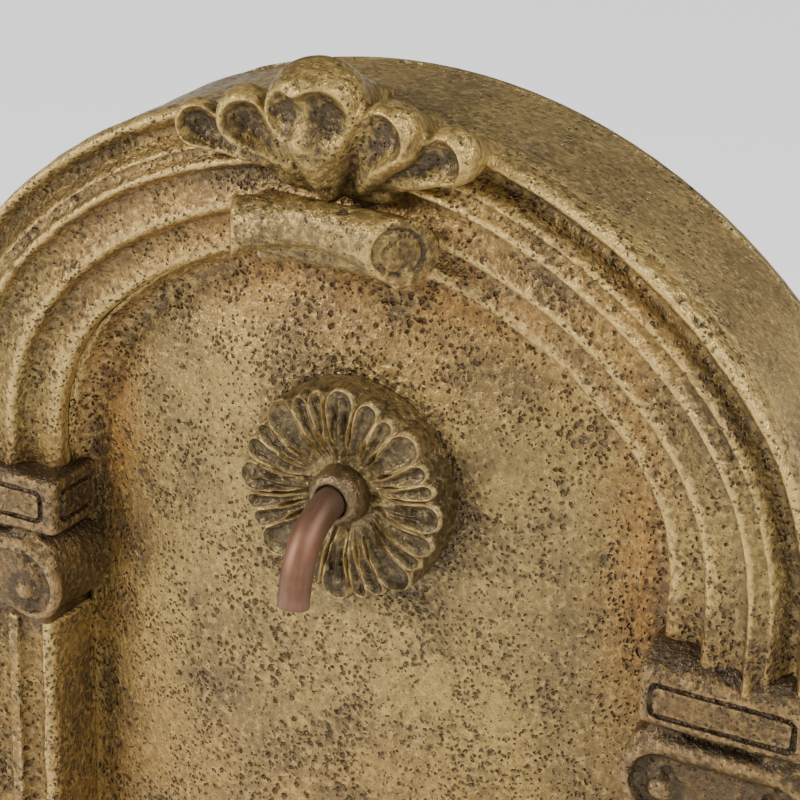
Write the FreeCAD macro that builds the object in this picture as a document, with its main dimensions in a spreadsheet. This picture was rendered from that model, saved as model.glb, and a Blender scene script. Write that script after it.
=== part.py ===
import FreeCAD, Part
import math
import os
import Sketcher

# Floor fountain: a bow-front basin on a plinth, with an arched tower behind it, a leaf rosette
# and copper spout in the niche, and a pump, hose and service bay that feed the spout.
# Frame: +Z up, the front faces -Y, the origin is on the floor under the middle of the basin.
# Lengths are millimetres.

Vector = FreeCAD.Vector

SIZES = [
    # whole object
    ("overall_depth", 440, "front of the basin to its rear edge"),
    ("tower_inset", 12, "basin's rear edge to the back of the tower"),
    ("running_gap", 0.3, "gap between pieces that move past each other"),
    ("slip_gap", 0.05, "radial clearance of a turning fit"),
    # arch of the niche, a three-centred curve on short straight jambs
    ("niche_half_width", 170, "half the clear width of the niche"),
    ("arch_rise", 130, "rise of the arch above its springing"),
    ("arch_shoulder_radius", 100, "radius of the two side arcs"),
    ("arch_stilt", 20, "straight jamb between the capital and the springing"),
    ("spring_height", 870, "top of the capitals above the floor"),
    ("tower_depth", 79, "innermost fascia to the back of the tower"),
    ("niche_depth", 30, "innermost fascia to the edge of the panel"),
    ("field_rise", 20, "height of the raised middle of the panel"),
    ("field_gap", 1.5, "volute roll to the raised middle of the panel"),
    ("field_bevel", 15, "sloped border of the raised middle"),
    ("casting_wall", 12, "wall of the tower casting"),
    # moulding round the arch
    ("inner_fascia", 23, "width of the innermost fascia"),
    ("middle_fascia", 24, "width of the middle fascia"),
    ("crest_width", 5, "width of the highest fillet"),
    ("cove_width", 13, "width of the hollow outside the highest fillet"),
    ("cove_radius", 15, "radius of the hollow outside the highest fillet"),
    ("bead_radius", 5.5, "radius of the outer bead"),
    ("fascia_step", 8, "step between inner and middle fascia"),
    ("crest_step", 7, "step between middle fascia and highest fillet"),
    ("groove_depth", 12, "highest fillet to the bottom of the hollow"),
    ("bead_seat", 2.5, "side of the outer bead above the hollow"),
    ("edge_round", 3, "rounding of the fascia edges"),
    ("web_depth", 8, "innermost fascia to the hollow back of the moulding"),
    # capitals and pilasters
    ("abacus_overhang", 6, "capital block past the jamb and the tower side"),
    ("abacus_projection", 16, "capital block in front of the innermost fascia"),
    ("abacus_height", 38, "height of the capital block"),
    ("abacus_round", 4, "rounded upper edges of the capital block"),
    ("tablet_border", 7, "edge of the block to the incised tablet line"),
    ("tablet_line", 2, "width and depth of the incised line"),
    ("volute_radius", 21, "radius of the volute roll"),
    ("volute_inset", 13, "jamb to the middle of the inner volute"),
    ("volute_drop", 12, "block to the top of the volute roll"),
    ("volute_hollow", 4, "depth of the scroll channel"),
    ("volute_rim", 5, "rim round the scroll channel"),
    ("eye_radius", 6, "radius of the ball in the volute"),
    ("shaft_projection", 10, "pilaster in front of the innermost fascia"),
    ("shaft_round", 4, "rounded front edges of the pilaster"),
    ("flute_radius", 7, "radius of a flute"),
    ("flute_pitch", 22, "distance between flutes"),
    ("flute_margin", 24, "end of the shaft to the end of a flute"),
    ("foot_height", 20, "square block under the pilaster"),
    ("foot_overhang", 7, "square block past the pilaster"),
    ("torus_height", 13, "lower roll of the pilaster base"),
    ("torus_overhang", 5, "lower roll past the pilaster"),
    ("collar_height", 9, "upper roll of the pilaster base"),
    ("collar_overhang", 3, "upper roll past the pilaster"),
    # crest and keystone scroll
    ("scroll_half_length", 55, "half the length of the scroll"),
    ("scroll_end_radius", 19, "radius of the scroll at its ends"),
    ("scroll_waist_radius", 16, "radius of the scroll in the middle"),
    ("scroll_rise", 16, "axis of the scroll above the crown of the niche"),
    ("scroll_forward", 22, "axis of the scroll in front of the innermost fascia"),
    ("scroll_hollow", 5, "depth of the spiral end's channel"),
    ("scroll_lip_radius", 7.5, "radius of the fold under the scroll"),
    ("crest_rise", 40, "foot of the palmette above the crown of the niche"),
    ("crest_length", 68, "foot of the palmette to the top of its middle lobe"),
    ("crest_forward", 20, "middle of the lobes in front of the innermost fascia"),
    ("lobe_foot", 5, "radius of a lobe at the foot of the palmette"),
    ("lobe_half_width", 23, "half the width of the middle lobe"),
    ("lobe_rim", 7, "rim round the scoop of a lobe"),
    ("inner_lobe_angle", 42, "angle of the second lobes from upright"),
    ("inner_lobe_length", 63, "foot of the palmette to the tip of a second lobe"),
    ("outer_lobe_angle", 76, "angle of the outer lobes from upright"),
    ("outer_lobe_length", 79, "foot of the palmette to the tip of an outer lobe"),
    ("side_lobe_half_width", 17, "half the width of a side lobe"),
    # rosette and spout
    ("spout_rise", 29, "axis of the spout above the top of the capitals"),
    ("rosette_radius", 53, "tips of the rosette leaves"),
    ("rosette_front", 6, "rosette in front of the innermost fascia"),
    ("rosette_dish", 9, "depth of the dish in the middle of the rosette"),
    ("dish_border", 6, "rim of the dish round the spout collar"),
    ("leaf_count", 20, "leaf lobes round the rosette"),
    ("leaf_radius", 8, "radius of a leaf tip"),
    ("leaf_hollow", 4, "depth of a leaf's scoop"),
    ("leaf_hollow_radius", 5.5, "radius of a leaf's scoop"),
    ("tube_outer_radius", 7.95, "outside radius of the copper tube"),
    ("tube_wall", 1.1, "wall of the copper tube"),
    ("spout_bend_radius", 36, "bend of the copper tube"),
    ("spout_bend_angle", 80, "turn of the copper tube"),
    ("spout_tip", 12, "straight end of the copper tube"),
    ("collar_radius", 15.5, "outside radius of the spout collar"),
    ("collar_length", 14, "spout collar in front of its seat"),
    ("collar_lip", 5, "front lip of the spout collar"),
    ("collar_round", 3, "rounded front edge of the spout collar"),
    ("sleeve_radius", 10, "outside radius of the bulkhead sleeve"),
    ("sleeve_gap", 0.15, "clearance of the sleeve in panel and rosette"),
    ("seal_width", 3, "length of the spout seal"),
    ("seal_radius", 9.5, "outside radius of the spout seal"),
    ("washer_radius", 18, "outside radius of the bulkhead washer"),
    ("washer_thickness", 2.5, "thickness of the bulkhead washer"),
    ("nut_radius", 18, "corner radius of the locknut"),
    ("nut_thickness", 7, "thickness of the locknut"),
    ("pipe_back", 16, "edge of the panel's back to the axis of the down pipe"),
    ("elbow_drop", 16, "spout axis to the shoulder of the barb"),
    ("barb_length", 22, "length of the hose barb"),
    ("waterway_radius", 4.5, "bore of the elbow and of the pump outlet"),
    # rear cover
    ("cover_thickness", 5, "thickness of the rear cover"),
    ("screw_radius", 2, "shank of the cover screws"),
    ("screw_length", 18, "length of the cover screws"),
    ("screw_head_radius", 4, "countersunk head of the cover screws"),
    ("screw_rise", 170, "vertical distance between cover screws"),
    ("screw_start", 60, "foot of the tower to the first cover screw"),
    # basin and plinth
    ("basin_half_width", 280, "half the width of the basin at its rim"),
    ("bow_rise", 200, "bow of the basin's front"),
    ("bow_corner_radius", 140, "radius of the basin's front corners"),
    ("rim_height", 330, "top of the basin and of the tower deck"),
    ("rim_width", 40, "width of the basin's rim"),
    ("rim_roll", 16, "radius of the rim's lower roll"),
    ("rim_round", 12, "radius of the rim's upper edge"),
    ("rim_side", 16, "upright side of the rim"),
    ("neck_inset", 26, "hollow under the rim"),
    ("neck_height", 10, "height of the hollow under the rim"),
    ("belly_inset", 12, "widest part of the belly inside the rim"),
    ("belly_height", 215, "widest part of the belly above the floor"),
    ("foot_inset", 62, "foot ring of the basin inside the rim"),
    ("foot_ring", 16, "width of the foot ring"),
    ("foot_rise", 8, "height of the foot ring's outer edge"),
    ("foot_slope", 12, "foot ring to the start of the belly"),
    ("bowl_radius", 110, "inner curve of the bowl wall"),
    ("bowl_edge", 46, "rim to the start of the inner curve"),
    ("floor_height", 140, "inside floor of the bowl"),
    ("floor_thickness", 22, "thickness of the bowl floor"),
    ("bowl_foot_inset", 64, "foot of the inner bowl wall inside the rim"),
    ("bay_front", 95, "rear wall of the bowl, distance behind the middle"),
    ("bay_wall", 12, "walls of the service bay and the deck"),
    ("deck_hole_radius", 14, "hole in the deck for the hose"),
    ("plinth_height", 90, "height of the plinth"),
    ("pad_height", 6, "height of the rubber pads"),
    ("pad_radius", 10, "radius of the rubber pads"),
    ("plinth_inset", 18, "foot of the plinth inside the rim"),
    ("plinth_block", 36, "upright foot of the plinth"),
    ("plinth_round", 8, "rounded shoulder of the foot"),
    ("plinth_ledge", 8, "flat ledge over the foot"),
    ("plinth_hollow_radius", 30, "hollow of the plinth"),
    ("plinth_band", 14, "upright band at the top of the plinth"),
    ("plinth_top_inset", 56, "top of the plinth inside the rim"),
    ("plinth_wall", 24, "wall of the plinth"),
    ("drain_radius", 8, "stem of the drain plug"),
    ("drain_flange_radius", 14, "flange of the drain plug"),
    ("drain_flange", 6, "thickness of the drain plug's flange"),
    ("drain_seat", 28, "seat of the drain plug inside the rim"),
    ("drain_height", 158, "drain plug above the floor"),
    ("drain_back", 40, "drain plug behind the middle"),
    # access door
    ("door_half_width", 100, "half the width of the door opening"),
    ("door_height", 110, "height of the door opening"),
    ("door_start", 160, "foot of the door opening above the floor"),
    ("door_gap", 1.5, "gap round the door"),
    ("door_thickness", 8, "thickness of the door"),
    ("leaf_thickness", 2, "hinge leaf"),
    ("leaf_width", 24, "hinge leaf, away from the pin"),
    ("knuckle_radius", 3.5, "outside radius of the hinge knuckles"),
    ("pin_radius", 1.6, "hinge pin"),
    ("knuckle_length", 12, "length of one knuckle"),
    ("hinge_spacing", 74, "distance between the two hinges"),
    ("button_radius", 7, "rounded ends of the turn button"),
    ("button_length", 22, "pivot to the tip's middle"),
    ("button_thickness", 3, "thickness of the turn button"),
    ("button_offset", 12, "door opening to the button's pivot"),
    ("button_screw_radius", 2, "pivot screw of the turn button"),
    ("button_head_radius", 4.5, "head of the pivot screw"),
    ("grommet_radius", 4, "bore of the cord grommet"),
    ("grommet_wall", 3, "wall of the cord grommet"),
    ("grommet_flange", 3, "flange of a grommet past its hole"),
    ("grommet_lip", 2, "thickness of a grommet's flange"),
    ("grommet_side", 70, "cord grommet beside the middle of the door"),
    ("grommet_rise", 22, "cord grommet above the foot of the opening"),
    # pump
    ("pump_middle", 40, "pump outlet behind the middle"),
    ("pump_half_width", 22, "half the width of the pump"),
    ("pump_height", 40, "height of the pump"),
    ("pump_foot", 5, "height of the suction feet"),
    ("pump_foot_radius", 6, "radius of the suction feet"),
    ("pump_depth", 36, "motor housing, front to back"),
    ("volute_depth", 15, "pump chamber housing, front to back"),
    ("chamber_radius", 15, "pump chamber"),
    ("chamber_wall", 2.5, "front wall of the pump chamber"),
    ("intake_radius", 3.5, "intake holes of the pump chamber"),
    ("intake_circle", 8.4, "middle of the intake holes, from the pump's axis"),
    ("intake_count", 6, "intake holes"),
    ("rotor_radius", 9, "magnet rotor"),
    ("rotor_length", 24, "magnet rotor"),
    ("rotor_gap", 0.8, "gap round the rotor and behind the impeller"),
    ("blade_radius", 12.5, "tip of the impeller blades"),
    ("blade_depth", 8, "impeller blades, front to back"),
    ("blade_thickness", 1.6, "impeller blades"),
    ("blade_count", 6, "impeller blades"),
    ("shaft_radius", 1.5, "pump shaft"),
    ("bush_radius", 4, "outside radius of the shaft bushes"),
    ("bush_length", 3, "length of the shaft bushes"),
    ("outlet_length", 20, "pump outlet"),
    ("strainer_depth", 18, "strainer, front to back"),
    ("strainer_wall", 2, "wall of the strainer"),
    ("strainer_gap", 0.3, "gap between strainer and pump chamber"),
    ("strainer_lap", 6, "strainer over the pump chamber housing"),
    ("slot_width", 2.4, "slots of the strainer"),
    ("slot_pitch", 5.8, "distance between the slots of the strainer"),
    ("slot_length", 22, "slots of the strainer"),
    ("slider_travel", 8, "travel of the flow slider"),
    ("slider_neck", 4, "neck of the flow slider"),
    ("slider_plate", 10, "height of the flow slider's plate and knob"),
    # pump cover
    ("hood_half_width", 62, "half the width of the pump cover"),
    ("hood_front", 14, "front of the pump cover in front of the middle"),
    ("hood_height", 78, "height of the pump cover"),
    ("hood_wall", 7, "wall of the pump cover"),
    ("hood_gap", 0.6, "gap between the pump cover and the bowl"),
    ("hood_corner", 50, "rounded front corners of the pump cover"),
    ("hood_slot_radius", 5, "round end of the water slots"),
    ("hood_slot_height", 30, "height of the water slots"),
    ("hood_slot_pitch", 20, "distance between the water slots"),
    # hose
    ("hose_bore_radius", 6.5, "bore of the hose and outside of its barbs"),
    ("hose_wall", 2.5, "wall of the hose"),
    ("hose_bend_radius", 38, "bends of the hose"),
    ("hose_crossing", 285, "height where the hose leaves the bowl"),
    ("hose_lap", 16, "hose pushed over the barbs"),
    ("clamp_thickness", 1, "band of the hose clamps"),
    ("clamp_width", 9, "width of the hose clamps"),
    ("clamp_screw", 8, "screw housing of the hose clamps"),
    ("clip_height", 12, "height of the hose clips"),
    ("clip_wall", 2, "wall of the hose clips"),
    ("clip_spacing", 190, "distance between the hose clips"),
    ("clip_start", 120, "deck to the first hose clip"),
    # tower brackets
    ("bracket_leg", 40, "legs of the tower brackets"),
    ("bracket_width", 30, "width of the tower brackets"),
    ("bracket_thickness", 4, "thickness of the tower brackets"),
    ("bolt_radius", 4, "shank of the bracket bolts"),
    ("bolt_head_radius", 7, "heads and nuts of the bracket bolts"),
    ("bolt_head", 5, "height of the heads and nuts"),
]


class Size:
    """A number together with the sheet expression that gives it."""

    def __init__(self, value, text):
        self.value = value
        self.text = text

    def __add__(self, other):
        other = as_size(other)
        return Size(self.value + other.value, f"({self.text} + {other.text})")

    def __sub__(self, other):
        other = as_size(other)
        return Size(self.value - other.value, f"({self.text} - {other.text})")

    def __mul__(self, other):
        other = as_size(other)
        return Size(self.value * other.value, f"({self.text} * {other.text})")

    def __truediv__(self, other):
        other = as_size(other)
        return Size(self.value / other.value, f"({self.text} / {other.text})")

    def __neg__(self):
        return Size(-self.value, f"(0 - {self.text})")

    def sine(self):
        return Size(math.sin(math.radians(self.value)), f"sin({self.text} * 1deg)")

    def cosine(self):
        return Size(math.cos(math.radians(self.value)), f"cos({self.text} * 1deg)")


def as_size(number):
    return number if isinstance(number, Size) else Size(float(number), repr(float(number)))


doc = FreeCAD.newDocument("FloorFountain")
sheet = doc.addObject("Spreadsheet::Sheet", "Sizes")
for row, (alias, number, note) in enumerate(SIZES, start=1):
    sheet.set(f"A{row}", alias)
    sheet.set(f"B{row}", str(number))
    sheet.setAlias(f"B{row}", alias)
    sheet.set(f"C{row}", note)
doc.recompute()
size = {alias: Size(float(sheet.get(alias)), f"Sizes.{alias}") for alias, number, note in SIZES}
ZERO = as_size(0)
pieces = []


# Sketches, features and primitives


def bind(target, path, amount):
    target.setExpression(path, as_size(amount).text)


def new_body(name):
    body = doc.addObject("PartDesign::Body", name)
    body.AllowCompound = True
    return body


def new_sketch(body, name, role, offset):
    sketch = body.newObject("Sketcher::SketchObject", name)
    plane = [feature for feature in body.Origin.OriginFeatures if feature.Role == role][0]
    sketch.AttachmentSupport = [(plane, "")]
    sketch.MapMode = "FlatFace"
    sketch.AttachmentOffset = FreeCAD.Placement(Vector(0, 0, offset.value), FreeCAD.Rotation())
    bind(sketch, "AttachmentOffset.Base.z", offset)
    return sketch


def drive(sketch, kind, arguments, amount):
    index = sketch.addConstraint(Sketcher.Constraint(kind, *arguments, amount.value))
    bind(sketch, f"Constraints[{index}]", amount)


def locate(sketch, edge, end, across, up):
    """Dimension one point of a sketch from the sketch's origin."""
    for kind, axis, amount in (("DistanceX", -2, across), ("DistanceY", -1, up)):
        if abs(amount.value) < 1e-9:
            sketch.addConstraint(Sketcher.Constraint("PointOnObject", edge, end, axis))
        elif amount.value > 0:
            drive(sketch, kind, (-1, 1, edge, end), amount)
        else:
            drive(sketch, kind, (edge, end, -1, 1), -amount)


def draw(sketch, corners, closed=True):
    """Draw lines and arcs through corners. A corner is (x, y), or (x, y, radius, turn) where an arc
    of under half a circle starts: turn is 1 for anticlockwise and -1 for clockwise."""
    spans = len(corners) if closed else len(corners) - 1
    ends = []
    for index in range(spans):
        start = Vector(corners[index][0].value, corners[index][1].value, 0)
        following = corners[(index + 1) % len(corners)]
        stop = Vector(following[0].value, following[1].value, 0)
        if len(corners[index]) == 2:
            edge = sketch.addGeometry(Part.LineSegment(start, stop))
            ends.append((edge, 1, 2))
            continue
        radius, turn = corners[index][2:]
        chord = stop - start
        rise = math.sqrt(max(radius.value**2 - chord.Length**2 / 4, 0))
        centre = (start + stop) / 2 + Vector(-chord.y, chord.x, 0).normalize() * rise * turn
        first, last = (start, stop) if turn > 0 else (stop, start)
        angles = [math.atan2(point.y - centre.y, point.x - centre.x) for point in (first, last)]
        circle = Part.Circle(centre, Vector(0, 0, 1), radius.value)
        edge = sketch.addGeometry(Part.ArcOfCircle(circle, angles[0], angles[1]))
        ends.append((edge, 1, 2) if turn > 0 else (edge, 2, 1))
    for index in range(spans):
        edge, start, stop = ends[index]
        locate(sketch, edge, start, *corners[index][:2])
        if len(corners[index]) == 4:
            drive(sketch, "Radius", (edge,), corners[index][2])
        if index + 1 < spans or closed:
            following = ends[(index + 1) % spans]
            sketch.addConstraint(Sketcher.Constraint("Coincident", edge, stop, following[0], following[1]))
    if not closed:
        edge, start, stop = ends[-1]
        locate(sketch, edge, stop, *corners[-1][:2])


def circle(sketch, across, up, radius):
    edge = sketch.addGeometry(Part.Circle(Vector(across.value, up.value, 0), Vector(0, 0, 1), radius.value))
    locate(sketch, edge, 3, across, up)
    drive(sketch, "Radius", (edge,), radius)


def rectangle(low_across, low_up, high_across, high_up):
    return [(low_across, low_up), (high_across, low_up), (high_across, high_up), (low_across, high_up)]


def extrude(body, kind, sketch, length, backwards=False):
    feature = body.newObject(f"PartDesign::{kind}", f"{sketch.Name}_{kind}")
    feature.Profile = sketch
    feature.Reversed = backwards
    bind(feature, "Length", length)
    body.Tip = feature
    doc.recompute()
    return feature


def sweep(body, profile, spine):
    pipe = body.newObject("PartDesign::AdditivePipe", f"{profile.Name}_sweep")
    pipe.Profile = profile
    pipe.Spine = spine
    body.Tip = pipe
    doc.recompute()
    return pipe


def soften(body, kind, amount, chosen):
    """Round or bevel the edges of a body that chosen picks."""
    base = body.Tip
    names = [f"Edge{index}" for index, edge in enumerate(base.Shape.Edges, start=1) if chosen(edge)]
    feature = body.newObject(f"PartDesign::{kind}", f"{body.Name}_{kind}")
    feature.Base = (base, names)
    bind(feature, "Size" if kind == "Chamfer" else "Radius", amount)
    body.Tip = feature
    doc.recompute()
    return feature


def near(first, second):
    return abs(first - second) < 0.01


AXIS_TURNS = {
    "x": FreeCAD.Rotation(Vector(0, 1, 0), 90),
    "y": FreeCAD.Rotation(Vector(1, 0, 0), -90),
    "z": FreeCAD.Rotation(),
}


def place(target, spot, turn=FreeCAD.Rotation()):
    target.Placement = FreeCAD.Placement(Vector(*[as_size(amount).value for amount in spot]), turn)
    for letter, amount in zip("xyz", spot):
        bind(target, f"Placement.Base.{letter}", amount)
    return target


def cylinder(name, radius, length, spot, axis="z"):
    """A cylinder that starts at spot and runs along the positive axis."""
    shape = doc.addObject("Part::Cylinder", name)
    bind(shape, "Radius", radius)
    bind(shape, "Height", length)
    return place(shape, spot, AXIS_TURNS[axis])


def block(name, low, high):
    shape = doc.addObject("Part::Box", name)
    for side, first, last in zip(("Length", "Width", "Height"), low, high):
        bind(shape, side, as_size(last) - first)
    return place(shape, low)


def fuse(name, shapes):
    joined = doc.addObject("Part::MultiFuse", name)
    joined.Shapes = shapes
    return joined


def gather(name, shapes):
    group = doc.addObject("Part::Compound", name)
    group.Links = shapes
    return group


def cut(name, base, tools):
    trimmed = doc.addObject("Part::Cut", name)
    trimmed.Base = base
    trimmed.Tool = tools[0] if len(tools) == 1 else fuse(f"{name}_tools", tools)
    return trimmed


def mirror(name, source):
    """The other side's copy, across the middle plane of the fountain."""
    copy = doc.addObject("Part::Mirroring", name)
    copy.Source = source
    copy.Normal = Vector(1, 0, 0)
    return copy


def keep(label, shape):
    shape.Label = label
    pieces.append(shape)
    return shape


def arch(half_width, rise, corner_radius, foot, spring, offset, upward=1):
    """Outline of straight sides under a three-centred curve, moved outwards by offset. With upward
    -1 the curve is drawn towards negative values, as the bow of the basin is in plan."""
    crown_radius = (half_width * half_width + rise * rise - half_width * corner_radius * 2) / (
        (rise - corner_radius) * 2
    )
    share = (crown_radius + offset) / (crown_radius - corner_radius)
    touch_across = (half_width - corner_radius) * share
    touch_up = spring + ((rise - crown_radius) + (crown_radius - rise) * share) * upward
    side = half_width + offset
    shoulder = corner_radius + offset
    return [
        (side, foot),
        (side, spring, shoulder, upward),
        (touch_across, touch_up, crown_radius + offset, upward),
        (-touch_across, touch_up, shoulder, upward),
        (-side, spring),
        (-side, foot),
    ]


# Planes shared by several pieces

rear_edge = size["overall_depth"] / 2
rear_plane = rear_edge - size["tower_inset"]
face_plane = rear_plane - size["tower_depth"]
niche_plane = face_plane + size["niche_depth"]
field_plane = niche_plane - size["field_rise"]
cover_plane = rear_plane - size["cover_thickness"]
panel_back = niche_plane + size["casting_wall"]
field_back = field_plane + size["casting_wall"]
deck = size["rim_height"]
springing = size["spring_height"] + size["arch_stilt"]
niche_crown = springing + size["arch_rise"]
spout_height = size["spring_height"] + size["spout_rise"]
ring_width = (
    size["inner_fascia"]
    + size["middle_fascia"]
    + size["crest_width"]
    + size["cove_width"]
    + size["bead_radius"] * 2
)
tower_half_width = size["niche_half_width"] + ring_width
plinth_top = size["pad_height"] + size["plinth_height"]
bow_spring = size["bow_rise"] - rear_edge


def niche_arch(offset, foot):
    return arch(
        size["niche_half_width"], size["arch_rise"], size["arch_shoulder_radius"], foot, springing, offset
    )


def basin_bow(offset, foot):
    return arch(
        size["basin_half_width"], size["bow_rise"], size["bow_corner_radius"], foot, bow_spring, offset, -1
    )


def inside_rim(inset):
    return size["basin_half_width"] - inset


# Plinth: a moulded ring swept round the bow front, closed by a wall at the back

plinth = new_body("plinth_body")
spine = new_sketch(plinth, "plinth_path", "XY_Plane", ZERO)
draw(spine, basin_bow(ZERO, rear_edge), closed=False)
profile = new_sketch(plinth, "plinth_profile", "XZ_Plane", -rear_edge)
block_top = size["pad_height"] + size["plinth_block"]
ledge_height = block_top + size["plinth_round"]
ledge_inset = size["plinth_inset"] + size["plinth_round"]
band_height = plinth_top - size["plinth_band"]
inner_foot = size["plinth_inset"] + size["plinth_wall"]
inner_top = size["plinth_top_inset"] + size["plinth_wall"]
draw(
    profile,
    [
        (inside_rim(size["plinth_inset"]), size["pad_height"]),
        (inside_rim(size["plinth_inset"]), block_top, size["plinth_round"], 1),
        (inside_rim(ledge_inset), ledge_height),
        (inside_rim(ledge_inset + size["plinth_ledge"]), ledge_height, size["plinth_hollow_radius"], -1),
        (inside_rim(size["plinth_top_inset"]), band_height),
        (inside_rim(size["plinth_top_inset"]), plinth_top),
        (inside_rim(inner_top), plinth_top),
        (inside_rim(inner_top), band_height),
        (inside_rim(inner_foot), block_top),
        (inside_rim(inner_foot), size["pad_height"]),
    ],
)
sweep(plinth, profile, spine)
wall = new_sketch(plinth, "plinth_back", "XZ_Plane", -rear_plane)
low_half = inside_rim(size["plinth_inset"] + size["plinth_wall"] / 2)
high_half = inside_rim(size["plinth_top_inset"] + size["plinth_wall"] / 2)
draw(
    wall,
    [
        (-low_half, size["pad_height"]),
        (low_half, size["pad_height"]),
        (low_half, block_top),
        (high_half, band_height),
        (high_half, plinth_top),
        (-high_half, plinth_top),
        (-high_half, band_height),
        (-low_half, block_top),
    ],
)
extrude(plinth, "Pad", wall, size["bay_wall"])
keep("plinth", plinth)

pad_side = inside_rim(size["plinth_inset"] + size["plinth_wall"] / 2)
pad_front = -rear_edge + size["plinth_inset"] + size["plinth_wall"] / 2
pad_rear = rear_plane - size["pad_radius"] * 2
pad_spots = [
    (pad_side, pad_rear),
    (-pad_side, pad_rear),
    (pad_side, bow_spring),
    (-pad_side, bow_spring),
    (ZERO, pad_front),
]
pads = [
    cylinder(f"floor_pad_{index}", size["pad_radius"], size["pad_height"], (across, back, 0))
    for index, (across, back) in enumerate(pad_spots)
]
keep("floor_pads", gather("floor_pad_group", pads))

# Basin: a belly swept round the bow front, with the bowl floor, the service bay and the deck

basin = new_body("basin_body")
spine = new_sketch(basin, "basin_path", "XY_Plane", ZERO)
draw(spine, basin_bow(ZERO, rear_edge), closed=False)
profile = new_sketch(basin, "basin_profile", "XZ_Plane", -rear_edge)
belly_foot = plinth_top + size["foot_rise"]
rim_side_top = deck - size["rim_round"]
rim_side_foot = rim_side_top - size["rim_side"]
roll_foot = rim_side_foot - size["rim_roll"]
neck_foot = roll_foot - size["neck_height"]
bowl_curve_top = deck - size["bowl_edge"]
ring_inset = size["foot_inset"] + size["foot_ring"]


def upright_arc(run, rise):
    """Radius of an arc that starts upright and moves run sideways over rise."""
    return (run * run + rise * rise) / (run * 2)


belly_start = size["foot_inset"] - size["foot_slope"]
belly_radius = upright_arc(belly_start - size["belly_inset"], size["belly_height"] - belly_foot)
shoulder_radius = upright_arc(size["neck_inset"] - size["belly_inset"], neck_foot - size["belly_height"])
draw(
    profile,
    [
        (inside_rim(size["foot_inset"]), plinth_top),
        (inside_rim(belly_start), belly_foot, belly_radius, 1),
        (inside_rim(size["belly_inset"]), size["belly_height"], shoulder_radius, 1),
        (inside_rim(size["neck_inset"]), neck_foot),
        (inside_rim(size["neck_inset"]), roll_foot),
        (inside_rim(size["rim_roll"]), roll_foot, size["rim_roll"], 1),
        (inside_rim(ZERO), rim_side_foot),
        (inside_rim(ZERO), rim_side_top, size["rim_round"], 1),
        (inside_rim(size["rim_round"]), deck),
        (inside_rim(size["rim_width"]), deck),
        (inside_rim(size["rim_width"]), bowl_curve_top, size["bowl_radius"], -1),
        (inside_rim(size["bowl_foot_inset"]), size["floor_height"]),
        (inside_rim(ring_inset), size["floor_height"] - size["floor_thickness"]),
        (inside_rim(ring_inset), plinth_top),
    ],
)
sweep(basin, profile, spine)
bowl_floor = new_sketch(basin, "bowl_floor", "XY_Plane", size["floor_height"] - size["floor_thickness"])
draw(bowl_floor, basin_bow(-size["foot_inset"], rear_plane))
extrude(basin, "Pad", bowl_floor, size["floor_thickness"])


def bulkhead(name, back, foot):
    """A cross wall that ends inside the thickness of the swept wall."""
    sketch = new_sketch(basin, name, "XZ_Plane", -back)
    middle = (size["rim_width"] + size["neck_inset"]) / 2
    widths = [
        (inside_rim(size["foot_inset"] + size["foot_ring"] / 2), foot),
        (inside_rim(size["foot_inset"]), size["floor_height"]),
        (inside_rim(size["belly_inset"] + size["bay_wall"] / 2), size["belly_height"]),
        (inside_rim(middle), neck_foot),
        (inside_rim(middle), deck),
    ]
    mirrored = [(-across, up) for across, up in reversed(widths)]
    draw(sketch, widths + mirrored)
    return extrude(basin, "Pad", sketch, size["bay_wall"])


bay_back = size["bay_front"] + size["bay_wall"]
bulkhead("bowl_rear_wall", bay_back, size["floor_height"] - size["floor_thickness"])
bulkhead("bay_rear_wall", rear_plane, plinth_top)
deck_sketch = new_sketch(basin, "tower_deck", "XY_Plane", deck - size["bay_wall"])
deck_half = inside_rim(size["rim_width"] - size["rim_round"])
draw(deck_sketch, rectangle(-deck_half, size["bay_front"], deck_half, rear_edge))
extrude(basin, "Pad", deck_sketch, size["bay_wall"])
door_top = size["door_start"] + size["door_height"]
doorway = new_sketch(basin, "doorway", "XZ_Plane", -rear_plane)
draw(doorway, rectangle(-size["door_half_width"], size["door_start"], size["door_half_width"], door_top))
extrude(basin, "Pocket", doorway, size["bay_wall"], backwards=True)

hose_radius = size["hose_bore_radius"] + size["hose_wall"]
down_pipe = panel_back + size["pipe_back"]
crossing_hole = hose_radius + size["grommet_wall"]
drain_seat = inside_rim(size["drain_seat"])
drain_stem = size["bowl_foot_inset"] - size["drain_seat"]
basin_openings = [
    cylinder(
        "hose_crossing_hole",
        crossing_hole,
        size["bay_wall"] * 2,
        (0, size["bay_front"] - size["bay_wall"] / 2, size["hose_crossing"]),
        "y",
    ),
    cylinder(
        "deck_hole",
        size["deck_hole_radius"],
        size["bay_wall"] * 2,
        (0, down_pipe, deck - size["bay_wall"] * 1.5),
    ),
    cylinder(
        "drain_bore",
        size["drain_radius"] + size["slip_gap"],
        drain_stem * 2,
        (drain_seat - drain_stem * 1.5, size["drain_back"], size["drain_height"]),
        "x",
    ),
    cylinder(
        "drain_spotface",
        size["drain_flange_radius"] + size["running_gap"],
        size["drain_seat"],
        (drain_seat, size["drain_back"], size["drain_height"]),
        "x",
    ),
]

# Drain plug: a bung with a flange that seats on the side of the bowl

plug_stem = cylinder(
    "plug_stem",
    size["drain_radius"],
    drain_stem + size["drain_flange"] * 2,
    (drain_seat - drain_stem, size["drain_back"], size["drain_height"]),
    "x",
)
plug_flange = cylinder(
    "plug_flange",
    size["drain_flange_radius"],
    size["drain_flange"],
    (drain_seat + size["slip_gap"], size["drain_back"], size["drain_height"]),
    "x",
)
keep("drain_plug", fuse("drain_plug_shape", [plug_stem, plug_flange]))

# Tower: an arched shell with a raised panel, open at the back and at the foot

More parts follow.
